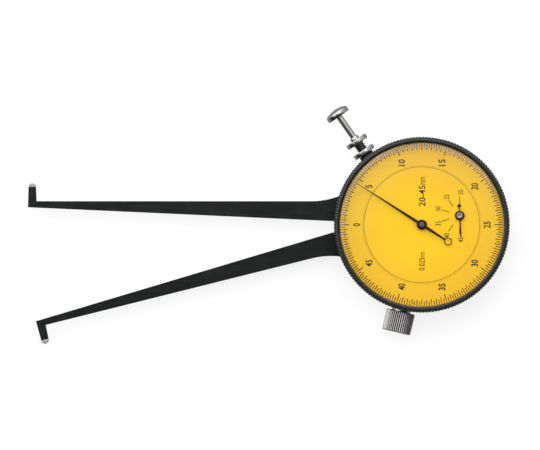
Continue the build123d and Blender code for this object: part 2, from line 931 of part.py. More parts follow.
cap_top = cap_place + cap_thickness
with BuildPart() as bush_cap:
    with BuildSketch(push_cross_plane.offset(cap_place)):
        Circle(disc_radius)
    extrude(amount=cap_thickness)
    with BuildSketch(push_cross_plane.offset(cap_top)):
        RegularPolygon(cap_nose_radius, small_sides)
    extrude(amount=cap_nose_length)
    bore(
        push_cross_plane.offset(cap_place),
        ((0, 0),),
        bush_radius_outside + fit_gap,
        bush_outer_end - cap_place + fit_gap,
    )
    bore(
        push_cross_plane.offset(bush_outer_end),
        ((0, 0),),
        rod_radius + running_gap,
        cap_top + cap_nose_length - bush_outer_end,
    )
bush_cap.part.label = "bush_cap"
export_step(bush_cap.part, "parts/bush_cap.step")

# Counter arbor with its integral sector pinion, which carries the counter wheel and hand
counter_plane = Plane(origin=(*counter_centre, 0))
counter_pinion_floor = sector_floor - guard_gap
counter_seat = counter_hand_floor - hub_foot + hub_height - hub_skin
with BuildPart() as counter_arbor:
    prism(
        counter_plane.offset(counter_pinion_floor),
        (0, 0),
        arbor_radius,
        counter_seat - counter_pinion_floor,
    )
    add(
        leaf_pinion(
            counter_plane.offset(counter_pinion_floor),
            counter_leaves,
            sector_module,
            mesh_angle + counter_ratio * swing / 2,
        )
    )
    extrude(amount=sector_thickness + 2 * guard_gap)
counter_arbor.part.label = "counter_arbor"
export_step(counter_arbor.part, "parts/counter_arbor.step")

with BuildPart() as counter_wheel:
    add(
        pointed_wheel(
            counter_plane.offset(counter_wheel_floor),
            counter_teeth,
            fine_module,
            counter_angle + 180,
        )
    )
    extrude(amount=counter_wheel_thickness)
counter_wheel.part.label = "counter_wheel"
export_step(counter_wheel.part, "parts/counter_wheel.step")

# Centre arbor with its pinion, whose leaves straddle the line to the counter arbor
centre_pinion_floor = take_up_wheel_floor - pinion_overlap
centre_pinion_top = counter_wheel_floor + counter_wheel_thickness + pinion_overlap
centre_seat = main_hand_floor - hub_foot + hub_height - hub_skin
with BuildPart() as centre_arbor:
    prism(Plane.XY.offset(bridge_floor), (0, 0), arbor_radius, centre_seat - bridge_floor)
    add(
        leaf_pinion(
            Plane.XY.offset(centre_pinion_floor),
            centre_leaves,
            fine_module,
            counter_angle + 180 / centre_leaves,
        )
    )
    extrude(amount=centre_pinion_top - centre_pinion_floor)
centre_arbor.part.label = "centre_arbor"
export_step(centre_arbor.part, "parts/centre_arbor.step")

# Take-up arbor with its collet, its wheel and its hairspring
take_up_plane = Plane(origin=(*take_up_centre, 0))
collet_floor = take_up_wheel_floor + take_up_wheel_thickness
leaf_offset = (counter_angle + 180 / centre_leaves - take_up_angle) % (360 / centre_leaves)
take_up_phase = take_up_angle + 180 - leaf_offset * centre_leaves / take_up_teeth
take_up_phase += 180 / take_up_teeth
with BuildPart() as take_up_arbor:
    prism(take_up_plane.offset(bridge_floor), (0, 0), arbor_radius, web_top - bridge_floor)
    prism(
        take_up_plane.offset(collet_floor),
        (0, 0),
        hairspring_inner - hairspring_strip,
        web_floor - collet_floor - side_gap,
    )
take_up_arbor.part.label = "take_up_arbor"
export_step(take_up_arbor.part, "parts/take_up_arbor.step")

with BuildPart() as take_up_wheel:
    add(
        pointed_wheel(
            take_up_plane.offset(take_up_wheel_floor), take_up_teeth, fine_module, take_up_phase
        )
    )
    extrude(amount=take_up_wheel_thickness)
take_up_wheel.part.label = "take_up_wheel"
export_step(take_up_wheel.part, "parts/take_up_wheel.step")

hairspring_floor = collet_floor + running_gap
hairspring_steps = hairspring_turns * small_sides
hairspring_outline = [
    polar(
        hairspring_inner + (hairspring_outer - hairspring_inner) * index / hairspring_steps + side,
        360 / small_sides * index,
    )
    for side, indices in (
        (-hairspring_strip / 2, range(hairspring_steps + 1)),
        (hairspring_strip / 2, range(hairspring_steps, -1, -1)),
    )
    for index in indices
]
with BuildPart() as hairspring:
    with BuildSketch(take_up_plane.offset(hairspring_floor)):
        with BuildLine():
            Polyline(*hairspring_outline, close=True)
        make_face()
    extrude(amount=hairspring_height)
hairspring.part.label = "hairspring"
export_step(hairspring.part, "parts/hairspring.step")

stud_place = hairspring_outer + hairspring_strip / 2 + hairspring_stud_radius + fit_gap
with BuildPart() as hairspring_stud:
    prism(
        take_up_plane.offset(hairspring_floor),
        (stud_place, 0),
        hairspring_stud_radius,
        web_floor - hairspring_floor,
    )
hairspring_stud.part.label = "hairspring_stud"
export_step(hairspring_stud.part, "parts/hairspring_stud.step")

# Bezel: a ring with a straight bore, knurled round its side and chamfered above the knurl
knurl_steps = ((bezel_radius - knurl_depth, -0.5), (bezel_radius, 0.0))
with BuildPart() as bezel:
    with BuildSketch(Plane.XY.offset(bezel_floor)):
        with BuildLine():
            Polyline(*tooth_ring(knurl_teeth, knurl_steps), close=True)
        make_face()
        Circle(bezel_bore, mode=Mode.SUBTRACT)
    extrude(amount=knurl_shoulder - bezel_floor)
    add(
        turned(
            Plane.XZ,
            (
                (bezel_bore, knurl_shoulder),
                (bezel_radius - knurl_depth - side_gap, knurl_shoulder),
                (bezel_radius - knurl_chamfer, crystal_top),
                (bezel_bore, crystal_top),
            ),
        )
    )
    revolve(axis=Axis.Z)
bezel.part.label = "bezel"
export_step(bezel.part, "parts/bezel.step")

# Crystal
with BuildPart() as crystal:
    with BuildSketch(Plane.XY.offset(crystal_floor)):
        Circle(bezel_bore - fit_gap)
    extrude(amount=crystal_thickness)
crystal.part.label = "crystal"
export_step(crystal.part, "parts/crystal.step")

# Outer dial, which turns with the bezel, and its marks
with BuildPart() as outer_dial:
    with BuildSketch(Plane.XY.offset(dial_floor)):
        Circle(bezel_bore - fit_gap)
        Circle(dial_split_radius + dial_split_gap, mode=Mode.SUBTRACT)
    extrude(amount=dial_thickness)
outer_dial.part.label = "outer_dial"
export_step(outer_dial.part, "parts/outer_dial.step")

with BuildPart() as dial_marks:
    with BuildSketch(Plane.XY.offset(dial_top)):
        with PolarLocations((unit_mark_radius + mark_outer_radius) / 2, turn_marks):
            Rectangle(mark_outer_radius - unit_mark_radius, unit_mark_width)
        with PolarLocations((numbered_mark_radius + mark_outer_radius) / 2, numbered_marks):
            Rectangle(mark_outer_radius - numbered_mark_radius, numbered_mark_width)
    extrude(amount=mark_height)
dial_marks.part.label = "dial_marks"
export_step(dial_marks.part, "parts/dial_marks.step")

# Inner dial, which stays on the web, and the counter's marks
with BuildPart() as inner_dial:
    with BuildSketch(Plane.XY.offset(web_top)):
        Circle(dial_split_radius - dial_split_gap)
    extrude(amount=dial_thickness + dial_lift)
    bore(
        Plane.XY.offset(web_top),
        ((0, 0), counter_centre),
        dial_hole_radius,
        dial_thickness + dial_lift,
    )
inner_dial.part.label = "inner_dial"
export_step(inner_dial.part, "parts/inner_dial.step")

with BuildPart() as counter_marks:
    with BuildSketch(counter_plane.offset(dial_top)):
        with PolarLocations(
            (counter_mark_inner + counter_mark_outer) / 2,
            counter_mark_count,
            counter_mark_start,
            counter_mark_range,
        ):
            Rectangle(counter_mark_outer - counter_mark_inner, counter_mark_width)
    extrude(amount=mark_height)
counter_marks.part.label = "counter_marks"
export_step(counter_marks.part, "parts/counter_marks.step")


def hub(name, centre, radius, hand_floor):
    """Builds the capped hub of a hand over its arbor's end."""
    foot = Plane.XY.offset(hand_floor - hub_foot)
    with BuildPart() as part:
        prism(foot, centre, radius, hub_height)
        bore(foot, (centre,), arbor_radius + fit_gap, hub_height - hub_skin)
    part.part.label = name
    export_step(part.part, f"parts/{name}.step")


# Main hand and its hub
tail_end = main_ring_distance - main_ring_radius + main_ring_wire / 2
main_hand_plane = Plane((0, 0, main_hand_floor), x_dir=polar(1, main_hand_angle) + (0,), z_dir=upward)
with BuildPart() as main_hand:
    with BuildSketch(main_hand_plane):
        with BuildLine():
            Polyline(
                (-tail_end, main_tail_width / 2),
                (0, main_hand_width / 2),
                (main_hand_length, main_tip_width / 2),
                (main_hand_length, -main_tip_width / 2),
                (0, -main_hand_width / 2),
                (-tail_end, -main_tail_width / 2),
                close=True,
            )
        make_face()
        RegularPolygon(main_boss_radius, small_sides)
        RegularPolygon(main_hub_radius + fit_gap, small_sides, major_radius=False, mode=Mode.SUBTRACT)
        with Locations((-main_ring_distance, 0)):
            RegularPolygon(main_ring_radius, small_sides)
            RegularPolygon(main_ring_radius - main_ring_wire, small_sides, mode=Mode.SUBTRACT)
    extrude(amount=hand_thickness)
main_hand.part.label = "main_hand"
export_step(main_hand.part, "parts/main_hand.step")

hub("main_hub", (0, 0), main_hub_radius, main_hand_floor)

# Counter hand and its hub
counter_hand_plane = Plane(
    (*counter_centre, counter_hand_floor), x_dir=polar(1, counter_hand_angle) + (0,), z_dir=upward
)
with BuildPart() as counter_hand:
    with BuildSketch(counter_hand_plane):
        with BuildLine():
            Polyline(
                (-counter_tail_length, counter_tail_width / 2),
                (0, counter_hand_width / 2),
                (counter_hand_length, counter_tip_width / 2),
                (counter_hand_length, -counter_tip_width / 2),
                (0, -counter_hand_width / 2),
                (-counter_tail_length, -counter_tail_width / 2),
                close=True,
            )
        make_face()
        with BuildLine():
            Polyline(
                (-counter_tail_length - counter_diamond_length / 2, 0),
                (-counter_tail_length, counter_diamond_width / 2),
                (-counter_tail_length + counter_diamond_length / 2, 0),
                (-counter_tail_length, -counter_diamond_width / 2),
                close=True,
            )
        make_face()
        RegularPolygon(counter_boss_radius, small_sides)
        RegularPolygon(counter_hub_radius + fit_gap, small_sides, major_radius=False, mode=Mode.SUBTRACT)
    extrude(amount=hand_thickness)
counter_hand.part.label = "counter_hand"
export_step(counter_hand.part, "parts/counter_hand.step")

hub("counter_hub", counter_centre, counter_hub_radius, counter_hand_floor)

# Clamp screw: a head with a flat for each row of its knurl, a cone that wedges under the bezel
# and a thread into the case
collar_start = case_radius + side_gap
with BuildPart() as clamp_screw:
    with BuildSketch(clamp_cross_plane.offset(clamp_thread_end)):
        RegularPolygon(clamp_thread_radius, small_sides)
    extrude(amount=collar_start - clamp_thread_end)
    with BuildSketch(clamp_cross_plane.offset(collar_start)):
        RegularPolygon(clamp_cone_radius, small_sides)
    extrude(amount=knob_start - collar_start)
    with BuildSketch(clamp_cross_plane.offset(knob_start)):
        RegularPolygon(knob_radius, knob_sides)
    extrude(amount=knob_length)
clamp_screw.part.label = "clamp_screw"
export_step(clamp_screw.part, "parts/clamp_screw.step")
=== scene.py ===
"""Looks of an inside dial caliper gauge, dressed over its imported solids.

The origin is on the dial's axis at the flat back. +Z points out of the dial and the arms lie along
-X. Sizes are written in millimetres and become metres where a piece is made.
"""

import logging
import math
from collections.abc import Callable, Iterable, Sequence
from dataclasses import dataclass
from enum import Enum

import bmesh
import bpy
from bpy.types import Material, NodeSocket, Object, World
from mathutils import Matrix, Vector


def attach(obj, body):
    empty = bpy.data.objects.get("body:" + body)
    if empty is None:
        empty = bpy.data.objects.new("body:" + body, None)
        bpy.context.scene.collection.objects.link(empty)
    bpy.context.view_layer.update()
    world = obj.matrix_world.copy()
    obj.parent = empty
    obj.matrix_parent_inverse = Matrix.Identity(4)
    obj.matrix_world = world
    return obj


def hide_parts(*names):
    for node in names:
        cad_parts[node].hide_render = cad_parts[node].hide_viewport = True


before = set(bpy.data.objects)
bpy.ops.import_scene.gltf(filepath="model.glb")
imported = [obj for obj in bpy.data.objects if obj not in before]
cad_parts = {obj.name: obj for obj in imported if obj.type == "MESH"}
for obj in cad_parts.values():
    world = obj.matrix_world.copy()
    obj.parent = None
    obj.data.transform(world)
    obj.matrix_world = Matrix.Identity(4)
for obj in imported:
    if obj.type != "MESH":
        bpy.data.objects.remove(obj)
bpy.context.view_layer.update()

MM = 0.001
log = logging.getLogger("gauge")

COUNTER_CENTRE = (10.6916, 2.5866)
DIAL_TOP = 11.95

Number = float | int
Place = tuple[float, float]
Spot = tuple[float, float, float]
Colour = tuple[float, float, float, float]
Rings = Sequence[Place]


def tint(red: int, green: int, blue: int) -> Colour:
    """Makes a shader colour from a colour written as on a screen.

    Args:
        red: Red from 0 to 255.
        green: Green from 0 to 255.
        blue: Blue from 0 to 255.

    Returns:
        The linear colour with full alpha.
    """

    def one(value: int) -> float:
        """Returns one channel made linear."""
        share = value / 255
        return share / 12.92 if share <= 0.04045 else ((share + 0.055) / 1.055) ** 2.4

    return one(red), one(green), one(blue), 1.0


def polar(radius: float, angle: float, centre: Place = (0.0, 0.0)) -> Place:
    """Finds the point at a radius and an angle from a centre.

    Args:
        radius: Distance from the centre.
        angle: Angle from +X in degrees.
        centre: The centre.

    Returns:
        The point's X and Y.
    """
    turn = math.radians(angle)
    return centre[0] + radius * math.cos(turn), centre[1] + radius * math.sin(turn)


class Body(Enum):
    """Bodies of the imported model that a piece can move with."""

    CASE = "case"
    MOVING_ARM = "moving_arm"
    PUSH_ROD = "push_rod"
    COUNTER_ARBOR = "counter_arbor"
    CENTRE_ARBOR = "centre_arbor"
    TAKE_UP_ARBOR = "take_up_arbor"
    BEZEL = "bezel"
    CLAMP_SCREW = "clamp_screw"


class Slot(Enum):
    """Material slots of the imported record."""

    BLACK = "black_finish"
    CHROME = "chrome"
    STEEL = "steel"
    HARD_METAL = "hard_metal"
    BRASS = "brass"
    DIAL = "yellow_dial"
    INK = "dark_ink"
    CLEAR = "clear"


class Wire:
    """A node's output, whose Python operators add Math nodes."""

    def __init__(self, shader: "Shader", socket: NodeSocket | None) -> None:
        """Keeps the output and the shader that it belongs to.

        Args:
            shader: The shader whose tree holds the node.
            socket: The node's output, or None for the tree's last node.
        """
        self.shader = shader
        self.socket = socket

    def math(self, operation: str, *others: "Wire | Number") -> "Wire":
        """Adds a Math node on this output.

        Args:
            operation: The Math node's operation.
            others: The other values, links or numbers.

        Returns:
            The node's output.
        """
        values = dict(enumerate((self, *others)))
        return self.shader.node("ShaderNodeMath", {"operation": operation}, values)

    def __add__(self, other: "Wire | Number") -> "Wire":
        """Returns the sum."""
        return self.math("ADD", other)

    def __radd__(self, other: Number) -> "Wire":
        """Returns the sum."""
        return self.math("ADD", other)

    def __sub__(self, other: "Wire | Number") -> "Wire":
        """Returns the difference."""
        return self.math("SUBTRACT", other)

    def __rsub__(self, other: Number) -> "Wire":
        """Returns the number less this value."""
        return self.shader.node("ShaderNodeMath", {"operation": "SUBTRACT"}, {0: other, 1: self})

    def __mul__(self, other: "Wire | Number") -> "Wire":
        """Returns the product."""
        return self.math("MULTIPLY", other)

    def __rmul__(self, other: Number) -> "Wire":
        """Returns the product."""
        return self.math("MULTIPLY", other)

    def smooth(self, low: float, high: float) -> "Wire":
        """Rises softly from 0 to 1.

        Args:
            low: The value where it starts.
            high: The value where it ends.

        Returns:
            The softly stepped value.
        """
        settings = {"interpolation_type": "SMOOTHSTEP"}
        return self.shader.node("ShaderNodeMapRange", settings, {0: self, 1: low, 2: high, 3: 0.0, 4: 1.0})


class Shader:
    """The node tree of a material or of the world."""

    def __init__(self, owner: Material | World) -> None:
        """Empties the owner's tree.

        Args:
            owner: The material or world that is given its look.
        """
        owner.use_nodes = True
        self.owner = owner
        self.tree = owner.node_tree
        self.tree.nodes.clear()

    def node(
        self,
        kind: str,
        settings: dict[str, object] | None = None,
        values: dict[int | str, object] | None = None,
        output: int | str = 0,
    ) -> Wire:
        """Adds any node.

        Args:
            kind: The node's type.
            settings: Its settings, set first; stops are a ramp's places and colours.
            values: What goes into its sockets, a link or a value each.
            output: The output that is wanted.

        Returns:
            That output.
        """
        made = self.tree.nodes.new(kind)
        for name, setting in (settings or {}).items():
            if name == "stops":
                elements = made.color_ramp.elements
                while len(elements) < len(setting):
                    elements.new(0.5)
                for element, (place, colour) in zip(elements, setting):
                    element.position = place
                    element.color = colour
            else:
                setattr(made, name, setting)
        for name, value in (values or {}).items():
            if isinstance(value, Wire):
                self.tree.links.new(value.socket, made.inputs[name])
            else:
                made.inputs[name].default_value = value
        return Wire(self, made.outputs[output] if made.outputs else None)

    def place(self, scale: Spot = (1.0, 1.0, 1.0), turn: float = 0.0) -> Wire:
        """Reads the place on the piece, stretched for a pattern.

        Args:
            scale: The pattern's scale along X, Y and Z.
            turn: The angle that the pattern is turned by about Z, in degrees.

        Returns:
            The place as a vector.
        """
        here = self.node("ShaderNodeTexCoord", output="Object")
        spun = {"Vector": here, "Rotation": (0.0, 0.0, math.radians(turn)), "Scale": scale}
        return self.node("ShaderNodeMapping", values=spun)

    def axis(self, place: Wire, name: str) -> Wire:
        """Returns a place's distance along X, Y or Z."""
        return self.node("ShaderNodeSeparateXYZ", values={0: place}, output=name)

    def radius(self, place: Wire) -> Wire:
        """Returns a place's distance from the dial's axis."""
        across, along = self.axis(place, "X"), self.axis(place, "Y")
        return (across * across + along * along).math("SQRT")

    def noise(self, place: Wire, scale: float, detail: float = 3.0) -> Wire:
        """Makes a noise pattern.

        Args:
            place: Where on the piece.
            scale: How fine it is.
            detail: How many finer layers it has.

        Returns:
            The pattern's value.
        """
        return self.node("ShaderNodeTexNoise", values={"Vector": place, "Scale": scale, "Detail": detail})

    def blend(self, share: Wire | float, low: object, high: object) -> Wire:
        """Mixes two colours.

        Args:
            share: How much of the second colour.
            low: The first colour or link.
            high: The second colour or link.

        Returns:
            The mixed colour.
        """
        return self.node("ShaderNodeMix", {"data_type": "RGBA"}, {0: share, 6: low, 7: high}, 2)

    def bump(self, height: Wire, strength: float, depth: float) -> Wire:
        """Makes a bumped normal.

        Args:
            height: The pattern's height.
            strength: How strong it shows.
            depth: The real depth in millimetres.

        Returns:
            The normal.
        """
        values = {"Height": height, "Strength": strength, "Distance": depth * MM}
        return self.node("ShaderNodeBump", values=values)

    def end(self, surface: Wire) -> None:
        """Links the surface to the tree's output."""
        kind = "ShaderNodeOutputWorld" if isinstance(self.owner, World) else "ShaderNodeOutputMaterial"
        self.node(kind, values={"Surface": surface})


@dataclass(frozen=True)
class Finish:
    """What the finishes share, each with its own way of building its material."""

    name: str
    colour: Colour
    roughness: float

    def material(self) -> Material:
        """Returns the finish's material, built the first time."""
        return bpy.data.materials.get(self.name) or self.build()

    def build(self) -> Material:
        """Returns the newly built material."""
        raise NotImplementedError

    def surface(self, shader: Shader, values: dict[int | str, object]) -> Material:
        """Ends a tree with a principled surface.

        Args:
            shader: The shader.
            values: What goes into the surface's sockets.

        Returns:
            The material.
        """
        shader.end(shader.node("ShaderNodeBsdfPrincipled", values=values))
        return shader.owner


@dataclass(frozen=True)
class BlackFinish(Finish):
    """Black oxide on ground steel: fine grinding lines, mottled sheen and a soft grain."""

    line_scale: Spot = (60.0, 2600.0, 2600.0)
    line_turn: float = 0.0
    gloss: float = 0.16

    def build(self) -> Material:
        """Returns the newly built material."""
        shader = Shader(bpy.data.materials.new(self.name))
        lines = shader.noise(shader.place(self.line_scale, self.line_turn), 1.0, 2.0)
        grain = shader.noise(shader.place(), 2400.0, 2.0)
        cloud = shader.noise(shader.place(), 140.0, 3.0)
        pale = tuple(min(1.0, part * 1.7 + 0.003) for part in self.colour[:3]) + (1.0,)
        worn = (lines * 0.5 + cloud * 0.5).smooth(0.42, 0.72)
        colour = shader.blend(worn, self.colour, pale)
        rough = self.roughness + (grain - 0.5) * 0.16 + (cloud - 0.5) * 0.2
        normal = shader.bump(grain * 0.6 + lines * 0.4, 0.35, 0.012)
        return self.surface(
            shader,
            {"Base Color": colour, "Roughness": rough, "Normal": normal, "Specular IOR Level": self.gloss},
        )


@dataclass(frozen=True)
class KnurledBlackFinish(Finish):
    """Black oxide on a knurled ring: crests painted lighter, partly wear and partly painted highlight,
    plain black grooves and a plain satin lip inside them.
    """

    teeth: int = 170
    inner: float = 23.9
    gloss: float = 0.8

    def build(self) -> Material:
        """Returns the newly built material."""
        shader = Shader(bpy.data.materials.new(self.name))
        place = shader.place()
        across, along = shader.axis(place, "X"), shader.axis(place, "Y")
        crest = (along.math("ARCTAN2", across) * self.teeth).math("COSINE").smooth(-0.3, 0.8)
        crest = crest * shader.radius(place).smooth(self.inner * MM, (self.inner + 0.15) * MM)
        grain = shader.noise(place, 2600.0, 2.0)
        cloud = shader.noise(place, 180.0, 3.0)
        # The crests are painted lighter than the grooves: partly wear, partly a painted highlight.
        worn = tuple(min(1.0, part * 5.0 + 0.03) for part in self.colour[:3]) + (1.0,)
        colour = shader.blend(crest * (0.45 + cloud * 0.55), self.colour, worn)
        rough = self.roughness + (grain - 0.5) * 0.12 + (1.0 - crest) * 0.12
        normal = shader.bump(grain, 0.3, 0.008)
        return self.surface(
            shader,
            {"Base Color": colour, "Roughness": rough, "Normal": normal, "Specular IOR Level": self.gloss},
        )


@dataclass(frozen=True)
class MetalFinish(Finish):
    """Bare or plated metal: a tone that drifts, brushing lines and a fine grain."""

    line_scale: Spot = (700.0, 700.0, 700.0)
    line_turn: float = 0.0
    brushing: float = 0.1
    depth: float = 0.004

    def build(self) -> Material:
        """Returns the newly built material."""
        shader = Shader(bpy.data.materials.new(self.name))
        lines = shader.noise(shader.place(self.line_scale, self.line_turn), 1.0, 3.0)
        cloud = shader.noise(shader.place(), 260.0, 2.0)
        dull = tuple(part * 0.8 for part in self.colour[:3]) + (1.0,)
        colour = shader.blend((lines * 0.4 + cloud * 0.6).smooth(0.25, 0.75), dull, self.colour)
        rough = self.roughness + (lines - 0.5) * self.brushing + (cloud - 0.5) * 0.06
        normal = shader.bump(lines, 0.3, self.depth)
        return self.surface(
            shader, {"Base Color": colour, "Roughness": rough, "Normal": normal, "Metallic": 1.0}
        )


@dataclass(frozen=True)
class KnurledMetalFinish(Finish):
    """Plated knob with a straight knurl: bright crests, and grooves painted near black as painted shade."""

    angle: float = 256.5
    height: float = 4.6
    radius: float = 4.05
    depth: float = 0.26

    def build(self) -> Material:
        """Returns the newly built material."""
        shader = Shader(bpy.data.materials.new(self.name))
        turned = shader.place(turn=90.0 - self.angle)
        across, height = shader.axis(turned, "X"), shader.axis(turned, "Z") - self.height * MM
        radius = (across * across + height * height).math("SQRT")
        below = [(self.radius - self.depth * share) * MM for share in (0.7, 0.25, 1.7, 1.1)]
        crest = radius.smooth(below[0], below[1])
        inside = 1.0 - radius.smooth(below[2], below[3])
        cloud = shader.noise(shader.place(), 320.0, 3.0)
        # The grooves are painted near black: painted shade in the knurl's hollows.
        groove_shade = tuple(part * 0.08 for part in self.colour[:3]) + (1.0,)
        unshaded = crest.math("MAXIMUM", inside)
        colour = shader.blend(unshaded * (0.8 + cloud * 0.2), groove_shade, self.colour)
        rough = self.roughness + (1.0 - unshaded) * 0.25 + (cloud - 0.5) * 0.1
        normal = shader.bump(cloud, 0.2, 0.004)
        return self.surface(
            shader, {"Base Color": colour, "Roughness": rough, "Normal": normal, "Metallic": 1.0}
        )


@dataclass(frozen=True)
class DialFinish(Finish):
    """Baked enamel of the dial: a faint cloud in its colour, a soft eggshell grain, and a painted shade
    band along the seam between the inner and outer dial.
    """

    deep: Colour = tint(250, 186, 22)
    seam: float = 16.65

    def build(self) -> Material:
        """Returns the newly built material."""
        shader = Shader(bpy.data.materials.new(self.name))
        place = shader.place()
        cloud = shader.noise(place, 60.0, 3.0)
        grain = shader.noise(place, 3800.0, 2.0)
        # A soft darker band at the seam radius is painted shade, where the step between the two dials would
        # cast it.
        away = (shader.radius(place) - self.seam * MM).math("ABSOLUTE")
        near = 1.0 - away.smooth(0.05 * MM, 0.45 * MM)
        shade = tuple(part * 0.72 for part in self.deep[:3]) + (1.0,)
        colour = shader.blend(cloud.smooth(0.3, 0.75) * 0.35, self.colour, self.deep)
        colour = shader.blend(near * 0.35, colour, shade)
        rough = self.roughness + (grain - 0.5) * 0.12
        normal = shader.bump(grain, 0.25, 0.005)
        return self.surface(
            shader,
            {"Base Color": colour, "Roughness": rough, "Normal": normal, "Specular IOR Level": 0.25},
        )


@dataclass(frozen=True)
class InkFinish(Finish):
    """Printed ink or lacquer: near black, with a density that varies a little."""

    def build(self) -> Material:
        """Returns the newly built material."""
        shader = Shader(bpy.data.materials.new(self.name))
        spread = shader.noise(shader.place(), 1500.0, 2.0)
        thin = tuple(min(1.0, part * 1.8 + 0.004) for part in self.colour[:3]) + (1.0,)
        colour = shader.blend(spread.smooth(0.4, 0.75), self.colour, thin)
        rough = self.roughness + (spread - 0.5) * 0.15
        return self.surface(
            shader, {"Base Color": colour, "Roughness": rough, "Specular IOR Level": 0.12}
        )


@dataclass(frozen=True)
class GlassFinish(Finish):
    """Clear crystal: see-through face on, and mirror-like where it is seen at a slant."""

    sheen: float = 0.012
    rim_sheen: float = 0.06
    start: float = 6.0
    rim: float = 23.0

    def build(self) -> Material:
        """Returns the newly built material."""
        shader = Shader(bpy.data.materials.new(self.name))
        place = shader.place()
        smear = shader.noise(place, 90.0, 2.0)
        slant = shader.node("ShaderNodeLayerWeight", values={"Blend": 0.5}, output="Facing")
        edge = shader.radius(place).smooth(self.start * MM, self.rim * MM)
        mirror = slant.math("POWER", 5.0) * (1.0 - self.sheen) + self.sheen + edge * self.rim_sheen
        clear = shader.node("ShaderNodeBsdfTransparent", values={"Color": self.colour})
        rough = self.roughness + (smear - 0.5) * 0.02
        gloss = shader.node(
            "ShaderNodeBsdfPrincipled",
            values={"Base Color": (1.0, 1.0, 1.0, 1.0), "Metallic": 1.0, "Roughness": rough},
        )
        shader.end(shader.node("ShaderNodeMixShader", values={0: mirror, 1: clear, 2: gloss}))
        return shader.owner


class Finishes:
    """The gauge's finishes, named for what wears them."""

    ARM = BlackFinish("arm_black", tint(20, 24, 23), 0.46, (70.0, 2400.0, 2400.0))
    LOWER_ARM = BlackFinish("lower_arm_black", tint(18, 22, 21), 0.48, (70.0, 2400.0, 2400.0), -14.0)
    CASE = BlackFinish("case_black", tint(16, 19, 19), 0.42, (900.0, 900.0, 900.0))
    BEZEL = KnurledBlackFinish("bezel_black", tint(8, 10, 10), 0.28)
    CHROME = MetalFinish("push_chrome", tint(206, 204, 200), 0.24, brushing=0.05, depth=0.002)
    THREAD = MetalFinish("bush_steel", tint(104, 103, 102), 0.34)
    KNOB = KnurledMetalFinish("knob_nickel", tint(226, 222, 220), 0.3)
    STEEL = MetalFinish("screw_steel", tint(176, 177, 178), 0.34)
    SPRING = MetalFinish("spring_steel", tint(120, 122, 128), 0.3)
    TIP = MetalFinish("hard_tip", tint(222, 222, 218), 0.38, (1400.0, 1400.0, 1400.0))
    BRASS = MetalFinish("gear_brass", tint(214, 176, 96), 0.3, (500.0, 500.0, 90.0), depth=0.006)
    SPACER = MetalFinish("spacer_grey", tint(225, 218, 206), 0.36, (900.0, 900.0, 60.0))
    DIAL = DialFinish("dial_enamel", tint(255, 206, 20), 0.5)
    INK = InkFinish("dial_ink", tint(44, 24, 6), 0.6)
    MARK = InkFinish("mark_ink", tint(66, 34, 2), 0.6)
    HAND = InkFinish("hand_lacquer", tint(38, 16, 8), 0.45)
    HUB = MetalFinish("hub_steel", tint(190, 184, 184), 0.5)
    DARK_HUB = MetalFinish("hub_dark", tint(122, 118, 132), 0.5)
    CRYSTAL = GlassFinish("crystal_clear", (0.995, 0.995, 0.99, 1.0), 0.03)


